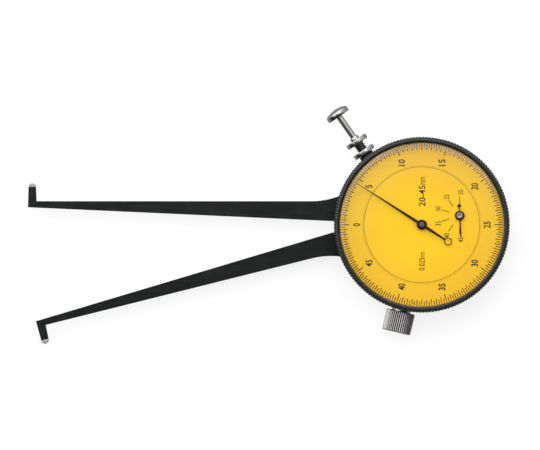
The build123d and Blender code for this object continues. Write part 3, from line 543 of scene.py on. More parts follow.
class Bench:
    """Modelling steps that the sub-assemblies share, each done with the usual operators."""

    @staticmethod
    def rest() -> None:
        """Leaves edit mode and deselects everything."""
        if bpy.context.object and bpy.context.object.mode == "EDIT":
            bpy.ops.object.mode_set(mode="OBJECT")
        bpy.ops.object.select_all(action="DESELECT")

    @staticmethod
    def take(*chosen: Object) -> None:
        """Selects pieces only, the first one active."""
        Bench.rest()
        for piece in chosen:
            piece.select_set(True)
        bpy.context.view_layer.objects.active = chosen[0]

    @staticmethod
    def edit(piece: Object) -> None:
        """Opens a piece in edit mode."""
        Bench.take(piece)
        bpy.ops.object.mode_set(mode="EDIT")

    @staticmethod
    def pick(piece: Object, wanted: Callable[[Vector], bool]) -> None:
        """Selects, in edit mode, the vertices whose place is wanted.

        Args:
            piece: The piece in edit mode.
            wanted: Says of a vertex's place whether it is selected.
        """
        bpy.context.tool_settings.mesh_select_mode = (True, False, False)
        mesh = bmesh.from_edit_mesh(piece.data)
        for vertex in mesh.verts:
            vertex.select_set(wanted(vertex.co))
        mesh.select_flush_mode()
        bmesh.update_edit_mesh(piece.data)

    @staticmethod
    def fix(piece: Object) -> None:
        """Puts a piece's place, turn and scale into its mesh."""
        Bench.take(piece)
        bpy.ops.object.transform_apply(location=True, rotation=True, scale=True)

    @staticmethod
    def apply(piece: Object, kind: str, **settings: object) -> None:
        """Adds a modifier to a piece and applies it.

        Args:
            piece: The piece.
            kind: The modifier's kind.
            settings: The modifier's settings.
        """
        Bench.take(piece)
        added = piece.modifiers.new(kind.lower(), kind)
        for name, setting in settings.items():
            setattr(added, name, setting)
        bpy.ops.object.modifier_apply(modifier=added.name)

    @staticmethod
    def soften(piece: Object, width: float, segments: int = 2, angle: float = 30.0) -> None:
        """Rounds a piece's sharp edges.

        Args:
            piece: The piece.
            width: The rounding's width in millimetres.
            segments: Its number of steps.
            angle: Edges sharper than this many degrees are rounded.
        """
        Bench.apply(
            piece,
            "BEVEL",
            width=width * MM,
            segments=segments,
            limit_method="ANGLE",
            angle_limit=math.radians(angle),
            harden_normals=False,
        )

    @staticmethod
    def join(name: str, *parts: Object) -> Object:
        """Joins pieces into one mesh.

        Args:
            name: The new piece's name.
            parts: The pieces.

        Returns:
            The joined piece.
        """
        Bench.take(*parts)
        if len(parts) > 1:
            bpy.ops.object.join()
        parts[0].name = name
        parts[0].data.name = name
        return parts[0]

    @staticmethod
    def copy(piece: Object, move: Matrix) -> Object:
        """Copies a piece, mesh and all, to another place.

        Args:
            piece: The piece.
            move: The copy's move from the piece.

        Returns:
            The copy.
        """
        Bench.take(piece)
        bpy.ops.object.duplicate(linked=False)
        twin = bpy.context.object
        twin.matrix_world = move
        Bench.fix(twin)
        return twin

    @staticmethod
    def lathe(name: str, rings: Rings, sides: int = 64, bored: bool = False) -> Object:
        """Turns a piece about +Z, drawn out ring by ring.

        Args:
            name: The piece's name.
            rings: Radius and height of each ring in millimetres, from the underside; a last radius
                of 0 closes at a point.
            sides: Columns round the piece.
            bored: True for a ring whose last row closes on its first.

        Returns:
            The piece.
        """
        Bench.rest()
        radius, height = rings[0]
        bpy.ops.mesh.primitive_circle_add(vertices=sides, radius=radius * MM, location=(0, 0, height * MM))
        piece = bpy.context.object
        piece.name = name
        Bench.fix(piece)
        bpy.ops.object.mode_set(mode="EDIT")
        bpy.ops.mesh.select_all(action="SELECT")
        for (radius, height), (wider, higher) in zip(rings, rings[1:]):
            step = {"value": (0.0, 0.0, (higher - height) * MM)}
            bpy.ops.mesh.extrude_region_move(TRANSFORM_OT_translate=step)
            if wider:
                share = wider / radius
                bpy.ops.transform.resize(value=(share, share, 1.0), center_override=(0.0, 0.0, 0.0))
            else:
                bpy.ops.mesh.merge(type="CENTER")
        if bored:
            Bench.pick(piece, lambda spot: Bench.on_ring(spot, rings[0]) or Bench.on_ring(spot, rings[-1]))
            bpy.ops.mesh.bridge_edge_loops()
        else:
            for ring in (rings[0], rings[-1]):
                if ring[0]:
                    Bench.pick(piece, lambda spot, ring=ring: Bench.on_ring(spot, ring))
                    bpy.ops.mesh.edge_face_add()
        bpy.ops.mesh.select_all(action="SELECT")
        bpy.ops.mesh.normals_make_consistent(inside=False)
        Bench.rest()
        return piece

    @staticmethod
    def on_ring(spot: Vector, ring: Place) -> bool:
        """Returns True if a place is on a ring of a radius and height in millimetres."""
        return abs(spot.xy.length - ring[0] * MM) < 2e-6 and abs(spot.z - ring[1] * MM) < 2e-6

    @staticmethod
    def column(spot: Vector, sides: int) -> int:
        """Returns the column that a place on a turned piece is in, counted from +X."""
        return round(math.atan2(spot.y, spot.x) / (2 * math.pi / sides)) % sides

    @staticmethod
    def knurl(piece: Object, rings: Iterable[Spot], teeth: int, shares: Sequence[float]) -> None:
        """Cuts straight grooves between the teeth of a turned piece.

        Args:
            piece: The piece, with as many columns to a tooth as there are shares.
            rings: Radius, height and groove depth of the rings, in millimetres.
            teeth: Number of teeth.
            shares: How much of the depth each of a tooth's columns takes, from its crest.
        """
        sides = teeth * len(shares)
        Bench.edit(piece)
        for radius, height, depth in rings:
            for step, share in enumerate(shares):
                if not depth * share:
                    continue
                Bench.pick(
                    piece,
                    lambda spot, ring=(radius, height), step=step: (
                        Bench.on_ring(spot, ring) and Bench.column(spot, sides) % len(shares) == step
                    ),
                )
                scale = 1.0 - depth * share / radius
                bpy.ops.transform.resize(value=(scale, scale, 1.0), center_override=(0.0, 0.0, 0.0))
        Bench.rest()

    @staticmethod
    def block(name: str, low: Sequence[float], high: Sequence[float]) -> Object:
        """Adds a block between two corners.

        Args:
            name: The piece's name.
            low: Its lowest corner in millimetres.
            high: Its highest corner in millimetres.

        Returns:
            The block.
        """
        Bench.rest()
        middle = [(start + end) / 2 * MM for start, end in zip(low, high)]
        size = [(end - start) * MM for start, end in zip(low, high)]
        bpy.ops.mesh.primitive_cube_add(size=1.0, location=middle, scale=size)
        piece = bpy.context.object
        piece.name = name
        Bench.fix(piece)
        return piece

    @staticmethod
    def solid_copy(name: str, node: str) -> Object:
        """Copies a CAD node's mesh with its faces merged.

        Args:
            name: The copy's name.
            node: The node.

        Returns:
            The copy.
        """
        Bench.rest()
        piece = bpy.data.objects.new(name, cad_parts[node].data.copy())
        bpy.context.scene.collection.objects.link(piece)
        piece.data.materials.clear()
        Bench.edit(piece)
        bpy.ops.mesh.customdata_custom_splitnormals_clear()
        bpy.ops.mesh.select_all(action="SELECT")
        bpy.ops.mesh.remove_doubles(threshold=1e-7)
        bpy.ops.mesh.dissolve_limited(angle_limit=math.radians(0.5))
        Bench.rest()
        return piece

    @staticmethod
    def finish(
        piece: Object,
        look: Finish,
        body: Body,
        slot: Slot,
        replaces: Iterable[str] = (),
        angle: float = 35.0,
    ) -> Object:
        """Shades and dresses a piece, and hands it to its body.

        Args:
            piece: The finished piece.
            look: Its finish.
            body: The body that it moves with.
            slot: The record's slot; not used.
            replaces: The CAD nodes that it stands for.
            angle: Edges sharper than this many degrees stay crisp.

        Returns:
            The piece.
        """
        Bench.take(piece)
        bpy.ops.object.shade_smooth_by_angle(angle=math.radians(angle))
        piece.data.materials.clear()
        piece.data.materials.append(look.material())
        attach(piece, body.value)
        if replaces:
            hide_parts(*replaces)
        log.info("%s: %d faces, rides on %s", piece.name, len(piece.data.polygons), body.value)
        return piece

    @staticmethod
    def flatten(piece: Object) -> None:
        """Makes a piece's large faces shade flat up to their rounded edges."""
        Bench.apply(piece, "WEIGHTED_NORMAL", keep_sharp=True, weight=100)


@dataclass
class Arms:
    """The two long arms and the hard tips of their jaws, from their solids with eased edges."""

    edge: float = 0.16
    tip_edge: float = 0.1

    def build(self) -> None:
        """Makes both arms and both tips."""
        for name, node, look, body in (
            ("fixed_arm_blade", "fixed_arm", Finishes.ARM, Body.CASE),
            ("moving_arm_blade", "moving_arm", Finishes.LOWER_ARM, Body.MOVING_ARM),
        ):
            piece = Bench.solid_copy(name, node)
            Bench.soften(piece, self.edge)
            Bench.finish(piece, look, body, Slot.BLACK, (node,))
            Bench.flatten(piece)
        for name, node, body in (
            ("fixed_jaw_tip", "fixed_contact_tip", Body.CASE),
            ("moving_jaw_tip", "moving_contact_tip", Body.MOVING_ARM),
        ):
            piece = Bench.solid_copy(name, node)
            Bench.soften(piece, self.tip_edge, 3, 25.0)
            Bench.finish(piece, Finishes.TIP, body, Slot.HARD_METAL, (node,))
            Bench.flatten(piece)


@dataclass
class Case:
    """The case seen from its side and back: shell, cover, its screws and the spring's post."""

    cover_radius: float = 21.55
    cover_top: float = 1.6
    cover_edge: float = 0.25
    rim_radius: float = 23.3
    rim_edge: float = 0.5
    screw_circle: float = 19.4
    screw_start: float = 55.0
    screw_radius: float = 0.9
    head_radius: float = 1.8
    head_floor: float = 0.05
    head_top: float = 0.95
    screw_top: float = 6.55
    slot_width: float = 0.5
    slot_depth: float = 0.45
    gap: float = 0.05
    post_place: Place = (6.0, -15.0)
    post_radius: float = 1.2
    post_top: float = 5.3
    drill_start: float = -1.0
    drill_end: float = 2.5
    sides: int = 48

    def screw_places(self) -> list[Place]:
        """Returns the places of the cover's screws."""
        return [polar(self.screw_circle, self.screw_start + 90.0 * index) for index in range(4)]

    def shell(self) -> None:
        """Makes the case body, its back rim rounded."""
        piece = Bench.solid_copy("case_shell", "case_body")
        Bench.edit(piece)
        bpy.context.tool_settings.mesh_select_mode = (False, True, False)
        mesh = bmesh.from_edit_mesh(piece.data)
        rim = (self.rim_radius, 0.0)
        for edge in mesh.edges:
            edge.select_set(all(Bench.on_ring(vertex.co, rim) for vertex in edge.verts))
        mesh.select_flush_mode()
        bmesh.update_edit_mesh(piece.data)
        bpy.ops.mesh.bevel(offset=self.rim_edge * MM, segments=4, affect="EDGES")
        Bench.rest()
        Bench.finish(piece, Finishes.CASE, Body.CASE, Slot.BLACK, ("case_body",), 30.0)
        Bench.flatten(piece)

    def cover(self) -> None:
        """Makes the back cover, with a counterbored hole for each screw and one for the post."""
        edge = self.cover_edge
        piece = Bench.lathe(
            "back_plate",
            (
                (self.cover_radius - edge, 0.0),
                (self.cover_radius, edge),
                (self.cover_radius, self.cover_top),
            ),
            128,
        )
        drills = []
        for place in self.screw_places():
            head, bore = self.head_radius + self.gap, self.screw_radius + self.gap
            seat = self.head_top + self.gap
            rings = ((head, self.drill_start), (head, seat), (bore, seat), (bore, self.drill_end))
            drills.append(self.drill(rings, place))
        post = self.post_radius + self.gap
        rings = ((post, self.drill_start), (post, self.drill_end))
        drills.append(self.drill(rings, self.post_place))
        tool = Bench.join("drills", *drills)
        Bench.apply(piece, "BOOLEAN", operation="DIFFERENCE", solver="EXACT", object=tool)
        bpy.data.objects.remove(tool)
        Bench.soften(piece, 0.06, 1)
        Bench.finish(piece, Finishes.CASE, Body.CASE, Slot.BLACK, ("back_cover",))

    def drill(self, rings: Rings, place: Place) -> Object:
        """Makes a cutter for a hole.

        Args:
            rings: The hole's radii and heights.
            place: Where it is cut.

        Returns:
            The cutter.
        """
        tool = Bench.lathe("drill", rings, self.sides)
        tool.location = (place[0] * MM, place[1] * MM, 0.0)
        Bench.fix(tool)
        return tool

    def screws(self) -> None:
        """Makes one slotted cover screw and copies it round the cover."""
        edge = 0.12
        screw = Bench.lathe(
            "cover_screw",
            (
                (self.head_radius - edge, self.head_floor),
                (self.head_radius, self.head_floor + edge),
                (self.head_radius, self.head_top),
                (self.screw_radius, self.head_top),
                (self.screw_radius, self.screw_top),
            ),
            self.sides,
        )
        reach, half = self.head_radius + 1.0, self.slot_width / 2
        low, high = (-reach, -half, self.drill_start), (reach, half, self.head_floor + self.slot_depth)
        cutter = Bench.block("slot", low, high)
        Bench.apply(screw, "BOOLEAN", operation="DIFFERENCE", solver="EXACT", object=cutter)
        bpy.data.objects.remove(cutter)
        copies = []
        for index, (x, y) in enumerate(self.screw_places()):
            spin = Matrix.Rotation(math.radians(37.0 * index + 12.0), 4, "Z")
            copies.append(Bench.copy(screw, Matrix.Translation((x * MM, y * MM, 0.0)) @ spin))
        bpy.data.objects.remove(screw)
        piece = Bench.join("cover_screw_set", *copies)
        Bench.finish(piece, Finishes.STEEL, Body.CASE, Slot.STEEL, ("back_cover_screws",))

    def post(self) -> None:
        """Makes the spring's post, whose foot shows in the cover."""
        edge = 0.15
        rings = (
            (self.post_radius - edge, self.gap),
            (self.post_radius, self.gap + edge),
            (self.post_radius, self.post_top - edge),
            (self.post_radius - edge, self.post_top),
        )
        piece = Bench.lathe("spring_pillar", rings, self.sides)
        piece.location = (self.post_place[0] * MM, self.post_place[1] * MM, 0.0)
        Bench.fix(piece)
        Bench.finish(piece, Finishes.STEEL, Body.CASE, Slot.STEEL, ("spring_post",))

    def build(self) -> None:
        """Makes the case's pieces."""
        self.shell()
        self.cover()
        self.screws()
        self.post()


@dataclass
class Bezel:
    """The turning bezel: straight knurl, rounded shoulder, groove and lip, crystal and spacer."""

    teeth: int = 170
    tooth: tuple[float, ...] = (0.0, 0.15, 1.0, 0.15)
    radius: float = 24.84
    bore: float = 23.36
    floor: float = 7.4
    top: float = 15.0
    knurl_depth: float = 0.25
    lip: float = 23.14
    crystal_radius: float = 23.3
    crystal_floor: float = 13.9
    crystal_edge_top: float = 14.25
    crystal_top: float = 14.95
    crystal_dome: float = 0.33

    def rings(self) -> list[Spot]:
        """Returns radius, height and knurl depth of each ring, from the bore's underside."""
        full, outer, top = self.knurl_depth, self.radius, self.top
        return [
            (self.bore, self.floor + 0.05, 0.0),
            (outer - 0.5, self.floor, 0.0),
            (outer - 0.1, self.floor + 0.3, full * 0.6),
            (outer, self.floor + 0.6, full),
            (outer, top - 1.2, full),
            (outer - 0.05, top - 0.88, full),
            (outer - 0.17, top - 0.58, full * 1.1),
            (outer - 0.36, top - 0.3, full * 1.1),
            (outer - 0.56, top - 0.12, full * 0.9),
            (outer - 0.76, top - 0.02, full * 0.4),
            (outer - 0.88, top, 0.0),
            (outer - 0.94, top - 0.02, 0.0),
            (outer - 0.97, top - 0.3, 0.0),
            (outer - 1.08, top - 0.3, 0.0),
            (outer - 1.11, top - 0.04, 0.0),
            (outer - 1.18, top, 0.0),
            (outer - 1.3, top - 0.06, 0.0),
            (self.lip, top - 0.44, 0.0),
            (self.lip, self.crystal_edge_top + 0.1, 0.0),
            (self.bore, self.crystal_edge_top + 0.1, 0.0),
        ]

    def ring(self) -> None:
        """Makes the bezel and cuts its knurl."""
        rings = self.rings()
        piece = Bench.lathe("bezel_ring", [ring[:2] for ring in rings], self.teeth * len(self.tooth), True)
        Bench.knurl(piece, rings, self.teeth, self.tooth)
        Bench.finish(piece, Finishes.BEZEL, Body.BEZEL, Slot.BLACK, ("bezel",), 28.0)

    def crystal(self) -> None:
        """Makes the crystal, faintly domed and rounded off towards its rim."""
        rim, edge, top = self.crystal_radius, self.crystal_edge_top, self.crystal_top
        shoulder, bend = rim - 0.2, rim - 2.3
        slope = 2 * self.crystal_dome / bend
        rest = (top - edge - self.crystal_dome - slope * (shoulder - bend)) / (shoulder - bend) ** 2
        rings = [(rim, self.crystal_floor), (rim, edge - 0.12), (shoulder, edge)]
        for radius in (22.9, 22.7, 22.4, 22.1, 21.8, 21.5, 21.2):
            past = radius - bend
            rings.append((radius, top - self.crystal_dome - slope * past - rest * past**2))
        for radius in (bend, 20.0, 18.5, 17.0, 15.5, 14.0, 12.0, 10.0, 8.0, 6.0, 4.0, 2.0):
            rings.append((radius, top - self.crystal_dome * (radius / bend) ** 2))
        rings.append((0.0, top))
        piece = Bench.lathe("crystal_glass", rings, 160)
        Bench.finish(piece, Finishes.CRYSTAL, Body.BEZEL, Slot.CLEAR, ("crystal",), 25.0)

    def spacer(self) -> None:
        """Makes the ring that holds the outer dial down under the crystal, its face sloped inwards."""
        piece = Bench.lathe(
            "dial_spacer",
            (
                (22.86, DIAL_TOP + 0.01),
                (23.34, DIAL_TOP + 0.01),
                (23.34, self.crystal_floor - 0.01),
                (23.26, self.crystal_floor - 0.01),
                (23.1, self.crystal_floor - 0.35),
                (22.9, DIAL_TOP + 0.5),
            ),
            160,
            True,
        )
        Bench.finish(piece, Finishes.SPACER, Body.BEZEL, Slot.STEEL)

    def build(self) -> None:
        """Makes the bezel's pieces."""
        self.ring()
        self.crystal()
        self.spacer()


@dataclass(frozen=True)
class Word:
    """A plain number or unit: its length, height, middle and how much its strokes are thickened."""

    text: str
    width: float
    height: float
    place: Place
    weight: float = 0.0


@dataclass
class Dial:
    """What is printed on the dial: graduations, plain numbers and the counter's numbers."""

    ink: float = 0.02
    marks: int = 200
    mark_outer: float = 22.82
    fine_inner: float = 21.6
    unit_inner: float = 21.15
    numbered_inner: float = 20.5
    fine_width: float = 0.25
    unit_width: float = 0.25
    numbered_width: float = 0.28
    number_radius: float = 18.4
    number_height: float = 2.0
    number_weight: float = 0.034
    digit_width: float = 0.9
    digit_gap: float = 0.12
    fixed_words: tuple[Word, ...] = (
        Word("20-45", 5.9, 1.85, (0.1, 8.15), 0.018),
        Word("mm", 2.1, 1.3, (0.38, 12.35)),
        Word("0.025", 3.5, 1.65, (0.0, -11.1), 0.01),
        Word("mm", 1.6, 1.1, (0.28, -8.4)),
    )
    counter_number_centre: Place = (10.95, 2.42)
    counter_radius: float = 6.7
    counter_height: float = 1.45
    counter_width: float = 1.34
    counter_weight: float = 0.01
    counter_mark_inner: float = 3.1
    counter_mark_outer: float = 5.45
    counter_mark_width: float = 0.2

    def fan(self, span: Place, width: float, angles: Iterable[float]) -> list[Object]:
        """Makes one radial mark and copies it round.

        Args:
            span: The radii of its ends.
            width: Its width.
            angles: The copies' angles in degrees.

        Returns:
            The copies.
        """
        low, high = (span[0], -width / 2, DIAL_TOP), (span[1], width / 2, DIAL_TOP + self.ink)
        mark = Bench.block("mark", low, high)
        copies = []
        for angle in angles:
            twin = bpy.data.objects.new("mark_copy", mark.data.copy())
            twin.data.transform(Matrix.Rotation(math.radians(angle), 4, "Z"))
            bpy.context.scene.collection.objects.link(twin)
            copies.append(twin)
        bpy.data.objects.remove(mark)
        return copies

    def graduations(self) -> None:
        """Makes the turning dial's marks and the counter's."""
        copies = []
        for inner, width, wanted in (
            (self.fine_inner, self.fine_width, lambda mark: mark % 2),
            (self.unit_inner, self.unit_width, lambda mark: mark % 2 == 0 and mark % 20),
            (self.numbered_inner, self.numbered_width, lambda mark: mark % 20 == 0),
        ):
            angles = [180.0 - 360.0 / self.marks * mark for mark in range(self.marks) if wanted(mark)]
            copies += self.fan((inner, self.mark_outer), width, angles)
        piece = Bench.join("dial_graduations", *copies)
        Bench.finish(piece, Finishes.MARK, Body.BEZEL, Slot.INK, ("dial_marks",))
        span = (self.counter_mark_inner, self.counter_mark_outer)
        piece = Bench.join(
            "counter_graduations",
            *self.fan(span, self.counter_mark_width, [90.0 + 36.0 * step for step in range(6)]),
        )
        piece.location = (COUNTER_CENTRE[0] * MM, COUNTER_CENTRE[1] * MM, 0.0)
        Bench.fix(piece)
        Bench.finish(piece, Finishes.INK, Body.CASE, Slot.INK, ("counter_marks",))

    def write(self, word: Word) -> Object:
        """Makes a word that reads from the dial's foot to its head.

        Args:
            word: What is written, and where.

        Returns:
            The word's mesh.
        """
        Bench.rest()
        bpy.ops.object.text_add()
        piece = bpy.context.object
        piece.data.body = word.text
        piece.data.size = word.height * MM * 1.4
        piece.data.offset = word.weight * word.height * MM
        piece.data.extrude = self.ink / 2 * MM
        piece.data.resolution_u = 3
        bpy.ops.object.convert(target="MESH")
        piece = bpy.context.object
        spots = [vertex.co for vertex in piece.data.vertices]
        low = Vector(min(spot[axis] for spot in spots) for axis in range(3))
        high = Vector(max(spot[axis] for spot in spots) for axis in range(3))
        middle, size = (low + high) / 2, high - low
        fit = Matrix.Diagonal((word.width * MM / size.x, word.height * MM / size.y, 1.0, 1.0))
        spot = Vector((*word.place, DIAL_TOP + self.ink / 2)) * MM
        stand = Matrix.Translation(spot) @ Matrix.Rotation(math.pi / 2, 4, "Z")
        piece.matrix_world = stand @ fit @ Matrix.Translation(-middle)
        Bench.fix(piece)
        return piece

    def numerals(self) -> None:
        """Makes the ten numbers of the turning dial."""
        words = []
        for step in range(10):
            text = str(5 * step)
            place = polar(self.number_radius, 180.0 - 36.0 * step)
            width = self.digit_width * len(text) + self.digit_gap * (len(text) - 1)
            words.append(self.write(Word(text, width, self.number_height, place, self.number_weight)))
        piece = Bench.join("dial_numerals", *words)
        Bench.finish(piece, Finishes.INK, Body.BEZEL, Slot.INK)

    def lettering(self) -> None:
        """Makes the fixed dial's plain numbers: its range and the worth of a mark."""
        words = [self.write(word) for word in self.fixed_words]
        for step in range(6):
            place = polar(self.counter_radius, 90.0 + 36.0 * step, self.counter_number_centre)
            text, weight = str(20 + 5 * step), self.counter_weight
            words.append(self.write(Word(text, self.counter_width, self.counter_height, place, weight)))
        piece = Bench.join("dial_numbers", *words)
        Bench.finish(piece, Finishes.INK, Body.CASE, Slot.INK)

    def build(self) -> None:
        """Makes the dial's printing."""
        self.graduations()
        self.numerals()
        self.lettering()


@dataclass
class Hands:
    """Both hands with their bosses and turned hubs."""

    thickness: float = 0.18
    main_floor: float = 13.1
    main_angle: float = 147.4
    main_length: float = 21.35
    main_widths: Spot = (0.5, 0.85, 0.14)
    ring_distance: float = 8.8
    ring_radius: float = 1.0
    ring_wire: float = 0.13
    main_boss: float = 1.45
    main_hub: float = 0.75
    counter_floor: float = 12.5
    counter_angle: float = 273.3
    counter_length: float = 6.1
    counter_tail: float = 2.9
    counter_widths: Spot = (0.26, 0.42, 0.3)
    diamond_distance: float = 2.75
    diamond_half: float = 0.45
    diamond_thickness: float = 0.19
    counter_boss: float = 1.37
    counter_hub: float = 0.9
    hub_sink: float = 0.3
    hub_height: float = 0.75

    def bar(self, start: float, end: float, widths: Spot, floor: float) -> Object:
        """Makes a bar along X that is widest where it crosses its arbor.

        Args:
            start: Where its tail ends, below 0.
            end: Where its point ends.
            widths: Its width at the tail, at the arbor and at the point.
            floor: The height of its underside.

        Returns:
            The bar.
        """
        tail, waist, point = widths
        piece = Bench.block("bar", (start, -waist / 2, floor), (end, waist / 2, floor + self.thickness))
        Bench.edit(piece)
        bpy.ops.mesh.select_all(action="SELECT")
        bpy.ops.mesh.bisect(plane_co=(0.0, 0.0, 0.0), plane_no=(1.0, 0.0, 0.0))
        for place, width in ((start, tail), (end, point)):
            Bench.pick(piece, lambda spot, place=place: abs(spot.x - place * MM) < 1e-6)
            bpy.ops.transform.resize(value=(1.0, width / waist, 1.0), center_override=(0.0, 0.0, 0.0))
        Bench.rest()
        return piece

    def boss(self, radius: float, floor: float) -> Object:
        """Makes a hand's round boss, a little thicker than the hand.

        Args:
            radius: Its radius.
            floor: The height of its underside.

        Returns:
            The boss.
        """
        top = floor + self.thickness + 0.03
        rings = ((radius, floor - 0.01), (radius, top - 0.05), (radius - 0.08, top))
        return Bench.lathe("boss", rings, 48)

    def hub(self, name: str, radius: float, floor: float, place: Place) -> Object:
        """Makes a turned hub with a rounded edge and a dimple.

        Args:
            name: The hub's name.
            radius: Its radius.
            floor: The height of its hand's underside.
            place: Its arbor's place.

        Returns:
            The hub.
        """
        floor -= self.hub_sink
        top = floor + self.hub_height
        rings = (
            (radius, floor),
            (radius, top - 0.12),
            (radius - 0.04, top - 0.04),
            (radius - 0.12, top),
            (radius * 0.5, top),
            (radius * 0.4, top - 0.06),
            (0.0, top - 0.1),
        )
        piece = Bench.lathe(name, rings, 48)
        piece.location = (place[0] * MM, place[1] * MM, 0.0)
        Bench.fix(piece)
        return piece

    def swing(self, piece: Object, angle: float, place: Place) -> None:
        """Turns a hand to its reading and sets it on its arbor."""
        spin = Matrix.Rotation(math.radians(angle), 4, "Z")
        piece.matrix_world = Matrix.Translation((place[0] * MM, place[1] * MM, 0.0)) @ spin
        Bench.fix(piece)

    def main(self) -> None:
        """Makes the long hand with its ring."""
        tail = self.ring_radius - self.ring_distance
        bar = self.bar(tail, self.main_length, self.main_widths, self.main_floor)
        bpy.ops.mesh.primitive_torus_add(
            major_radius=self.ring_radius * MM,
            minor_radius=self.ring_wire * MM,
            major_segments=48,
            minor_segments=10,
            location=(-self.ring_distance * MM, 0.0, (self.main_floor + self.thickness / 2) * MM),
        )
        ring = bpy.context.object
        Bench.fix(ring)
        Bench.soften(bar, 0.05, 2)
        piece = Bench.join("main_pointer", bar, ring, self.boss(self.main_boss, self.main_floor))
        self.swing(piece, self.main_angle, (0.0, 0.0))
        Bench.finish(piece, Finishes.HAND, Body.CENTRE_ARBOR, Slot.INK, ("main_hand",))
        hub = self.hub("main_pointer_hub", self.main_hub, self.main_floor, (0.0, 0.0))
        Bench.finish(hub, Finishes.DARK_HUB, Body.CENTRE_ARBOR, Slot.INK, ("main_hub",))

    def counter(self) -> None:
        """Makes the counter's hand with its diamond."""
        floor, half = self.counter_floor, self.diamond_half
        bar = self.bar(-self.counter_tail, self.counter_length, self.counter_widths, floor)
        low = (-self.diamond_distance - half, -half, floor)
        high = (-self.diamond_distance + half, half, floor + self.diamond_thickness)
        diamond = Bench.block("diamond", low, high)
        Bench.edit(diamond)
        bpy.ops.mesh.select_all(action="SELECT")
        middle = (-self.diamond_distance * MM, 0.0, floor * MM)
        bpy.ops.transform.rotate(value=math.radians(45.0), orient_axis="Z", center_override=middle)
        Bench.rest()
        Bench.soften(bar, 0.04, 2)
        Bench.soften(diamond, 0.04, 1)
        piece = Bench.join("counter_pointer", bar, diamond, self.boss(self.counter_boss, floor))
        self.swing(piece, self.counter_angle, COUNTER_CENTRE)
        Bench.finish(piece, Finishes.HAND, Body.COUNTER_ARBOR, Slot.INK, ("counter_hand",))
        hub = self.hub("counter_pointer_hub", self.counter_hub, floor, COUNTER_CENTRE)
        Bench.finish(hub, Finishes.HUB, Body.COUNTER_ARBOR, Slot.INK, ("counter_hub",))

    def build(self) -> None:
        """Makes both hands."""
        self.main()
        self.counter()


